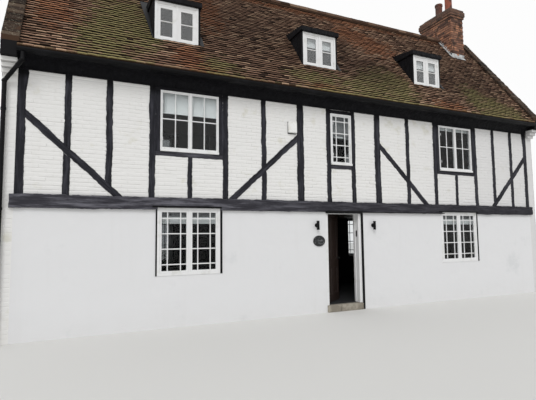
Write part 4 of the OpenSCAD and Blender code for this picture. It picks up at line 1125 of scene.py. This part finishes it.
cornice_points = points_of(nodes["eaves_cornices"].data)
cornice_y, cove_z = cornice_points[:, 1].min(), cornice_points[:, 2].min()
edge_z = cornice_points[cornice_points[:, 1] < cornice_y + 0.001][:, 2].min()
moulds = bmesh.new()
for y0, y1, z0, z1, edge in ((cornice_y - 0.006, cornice_y + 0.006, edge_z, edge_z + 0.022, 0.005),
                             (-half_depth - 0.02, -half_depth, cove_z - 0.004, cove_z + 0.02, 0.006)):
    block(moulds, (gutter_low[0], y0, z0), (gutter_high[0], y1, z1), edge, 2)
both_sides(moulds)
piece("cornice_beads", moulds, "black_timber")

# %% [markdown]
# ## Lead at the stack and the dormers
# Lead covers the joint of tiles and stack. A strip is dressed down over the tiles on the side of the
# house, and an apron lies at the front foot. Older, dark lead lies at the right foot of each dormer and
# in a wedge on the left of the first one.

# %% Lead strip and apron
LEAD_FOOT, LEAD_FACE = 0.036, 0.041


def lead_sheet(bm, x0, x1, z0, z1, taper=0.0):
    """A sheet on the front slope, from along and up it, narrower at its lower left by a taper."""
    before = len(bm.verts)
    block(bm, (x0, z0, LEAD_FOOT), (x1, z1, LEAD_FACE), 0.002, 2)
    bm.verts.ensure_lookup_table()
    for vert in bm.verts[before:]:
        if vert.co.x < (x0 + x1) / 2 and vert.co.y < (z0 + z1) / 2:
            vert.co.x += taper
    turn = Matrix((Vector(ALONG), slope_up, slope_out)).transposed().to_4x4()
    bmesh.ops.transform(bm, matrix=Matrix.Translation(slope_foot) @ turn, verts=bm.verts[before:])


bm = bmesh.new()
stack_foot = slope_distance(stack_low.y)
lead_sheet(bm, stack_low.x - 0.1, stack_low.x + 0.002, stack_foot - 0.03, slope_length - 0.12)
lead_sheet(bm, stack_low.x + 0.12, stack_high.x - 0.02, stack_foot - 0.09, stack_foot + 0.01)
for number, (left, right, top) in enumerate(dormers):
    foot, head = slope_distance(left[0][1]), slope_distance(left[1][1])
    lead_sheet(bm, right[1][0] - 0.01, right[1][0] + 0.07, foot - 0.06, foot + 0.3)
    if number == 0:
        lead_sheet(bm, left[0][0] - 0.15, left[0][0] + 0.01, foot - 0.02, head, taper=0.14)
piece("lead_dressing", bm, "lead")

# %% [markdown]
# ## Plaque, alarm box and latch keep
# The oval plaque has a raised rim and is bare, and so is the alarm box, a white cover on a grey back
# plate, which shows below the cover as a painted shadow under the box. The rim is a small circle spun about
# the middle and then drawn out to an oval. The latch keep sits on the right jamb.

# %% Plaque rim
plaque_low, plaque_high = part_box("wall_plaque")
plaque_middle, plaque_size = (plaque_low + plaque_high) / 2, (plaque_high - plaque_low) / 2
bm = bmesh.new()
bead = bmesh.ops.create_circle(bm, segments=10, radius=0.0065)["verts"]
bmesh.ops.translate(bm, vec=(plaque_size.x - 0.007, 0, 0), verts=bead)
bmesh.ops.spin(bm, geom=bm.verts[:] + bm.edges[:], cent=(0, 0, 0), axis=(0, 1, 0), angle=math.tau, steps=48,
               use_merge=True)
bmesh.ops.recalc_face_normals(bm, faces=bm.faces)
bmesh.ops.scale(bm, vec=(1, 1, plaque_size.z / plaque_size.x), verts=bm.verts)
bmesh.ops.translate(bm, vec=(plaque_middle.x, plaque_low.y, plaque_middle.z), verts=bm.verts)
rim = piece("plaque_rim", bm, "black_iron")
rim.data.shade_smooth()

# %% Alarm box and keep
(low, high), = bodies_of("alarm_box")
bm = bmesh.new()
block(bm, (low[0], high[1] - 0.02, low[2]), (high[0], high[1], high[2]), 0.003)
piece("alarm_back", bm, "plaque_metal", replaces=["alarm_box"])
bm = bmesh.new()
# The cover stops short of the plate's foot, so the dark plate shows there as painted shadow.
block(bm, (low[0] + 0.002, low[1], low[2] + 0.02),
      (high[0] - 0.002, high[1] - 0.006, high[2] - 0.002), 0.018, 3)
block(bm, (low[0] + 0.04, low[1] - 0.002, low[2] + 0.03),
      (high[0] - 0.04, low[1] + 0.002, low[2] + 0.045), 0.002)
piece("alarm_cover", bm, "white_plastic")
frame_low, frame_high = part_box("door_frame")
bm = bmesh.new()
block(bm, (frame_high.x - 0.075, frame_low.y + 0.05, 1.66),
      (frame_high.x - 0.062, frame_low.y + 0.09, 1.8), 0.003)
piece("latch_keep", bm, "black_iron")

# %% [markdown]
# ## Panes
# The panes are sorted by the glass they get: the dormers' mirror the sky, and the wide window at the
# street's open end mirrors some of it.

# %% Panes
def kind_of_pane(low):
    """Which glass a pane gets, by its place."""
    if low[2] > ATTIC:
        return "dormer_panes"
    return "upper_panes" if low[2] > FIRST_FLOOR and low[0] * low[1] > 4 else "panes"


for name, material in (("panes", "glass"), ("upper_panes", "upper_glass"), ("dormer_panes", "sky_glass")):
    bm = bmesh.new()
    for low, high in panes:
        if kind_of_pane(low) == name:
            block(bm, low, high)
    piece(name, bm, material, slot="glass", replaces=["window_glass"])

# %% [markdown]
# ## Light and floor
# The light is a soft studio: an even white world and one broad, soft sun lamp from the left, high in
# front. The camera sees a pale background in place of the world. The floor is plain and pale.

# %% Studio
world = bpy.data.worlds.new("studio")
world.use_nodes = True
sky = Tree(world.node_tree)
path = sky.add("LightPath", {}).outputs
seen = sky.sum("MAXIMUM", path["Is Camera Ray"],
               sky.sum("MAXIMUM", path["Is Glossy Ray"], path["Is Transmission Ray"]))
lighting, backdrop = (sky.add("Background", {"Color": colour, "Strength": strength}).outputs[0]
                      for colour, strength in (("#f6f7f8", 0.78), ("#fdfdfd", 1.0)))
both = sky.add("MixShader", {0: seen, 1: lighting, 2: backdrop})
sky.add("OutputWorld", {0: both.outputs[0]})
scene.world = world

sun = placed("sun", bpy.data.lights.new("sun", "SUN"))
sun.data.energy = 1.1
sun.data.angle = math.radians(25)
sun.rotation_euler = Vector((-0.45, -0.75, 0.8)).to_track_quat("Z", "Y").to_euler()

bm = bmesh.new()
bmesh.ops.create_grid(bm, x_segments=1, y_segments=1, size=60)
floor = placed("floor", mesh_of(bm, "floor"))
mat = Paint("floor_paint", 0.9)
mat.set(Base_Color="#dad9d6")
floor.data.materials.append(bpy.data.materials["floor_paint"])
scene.view_settings.view_transform = "Standard"
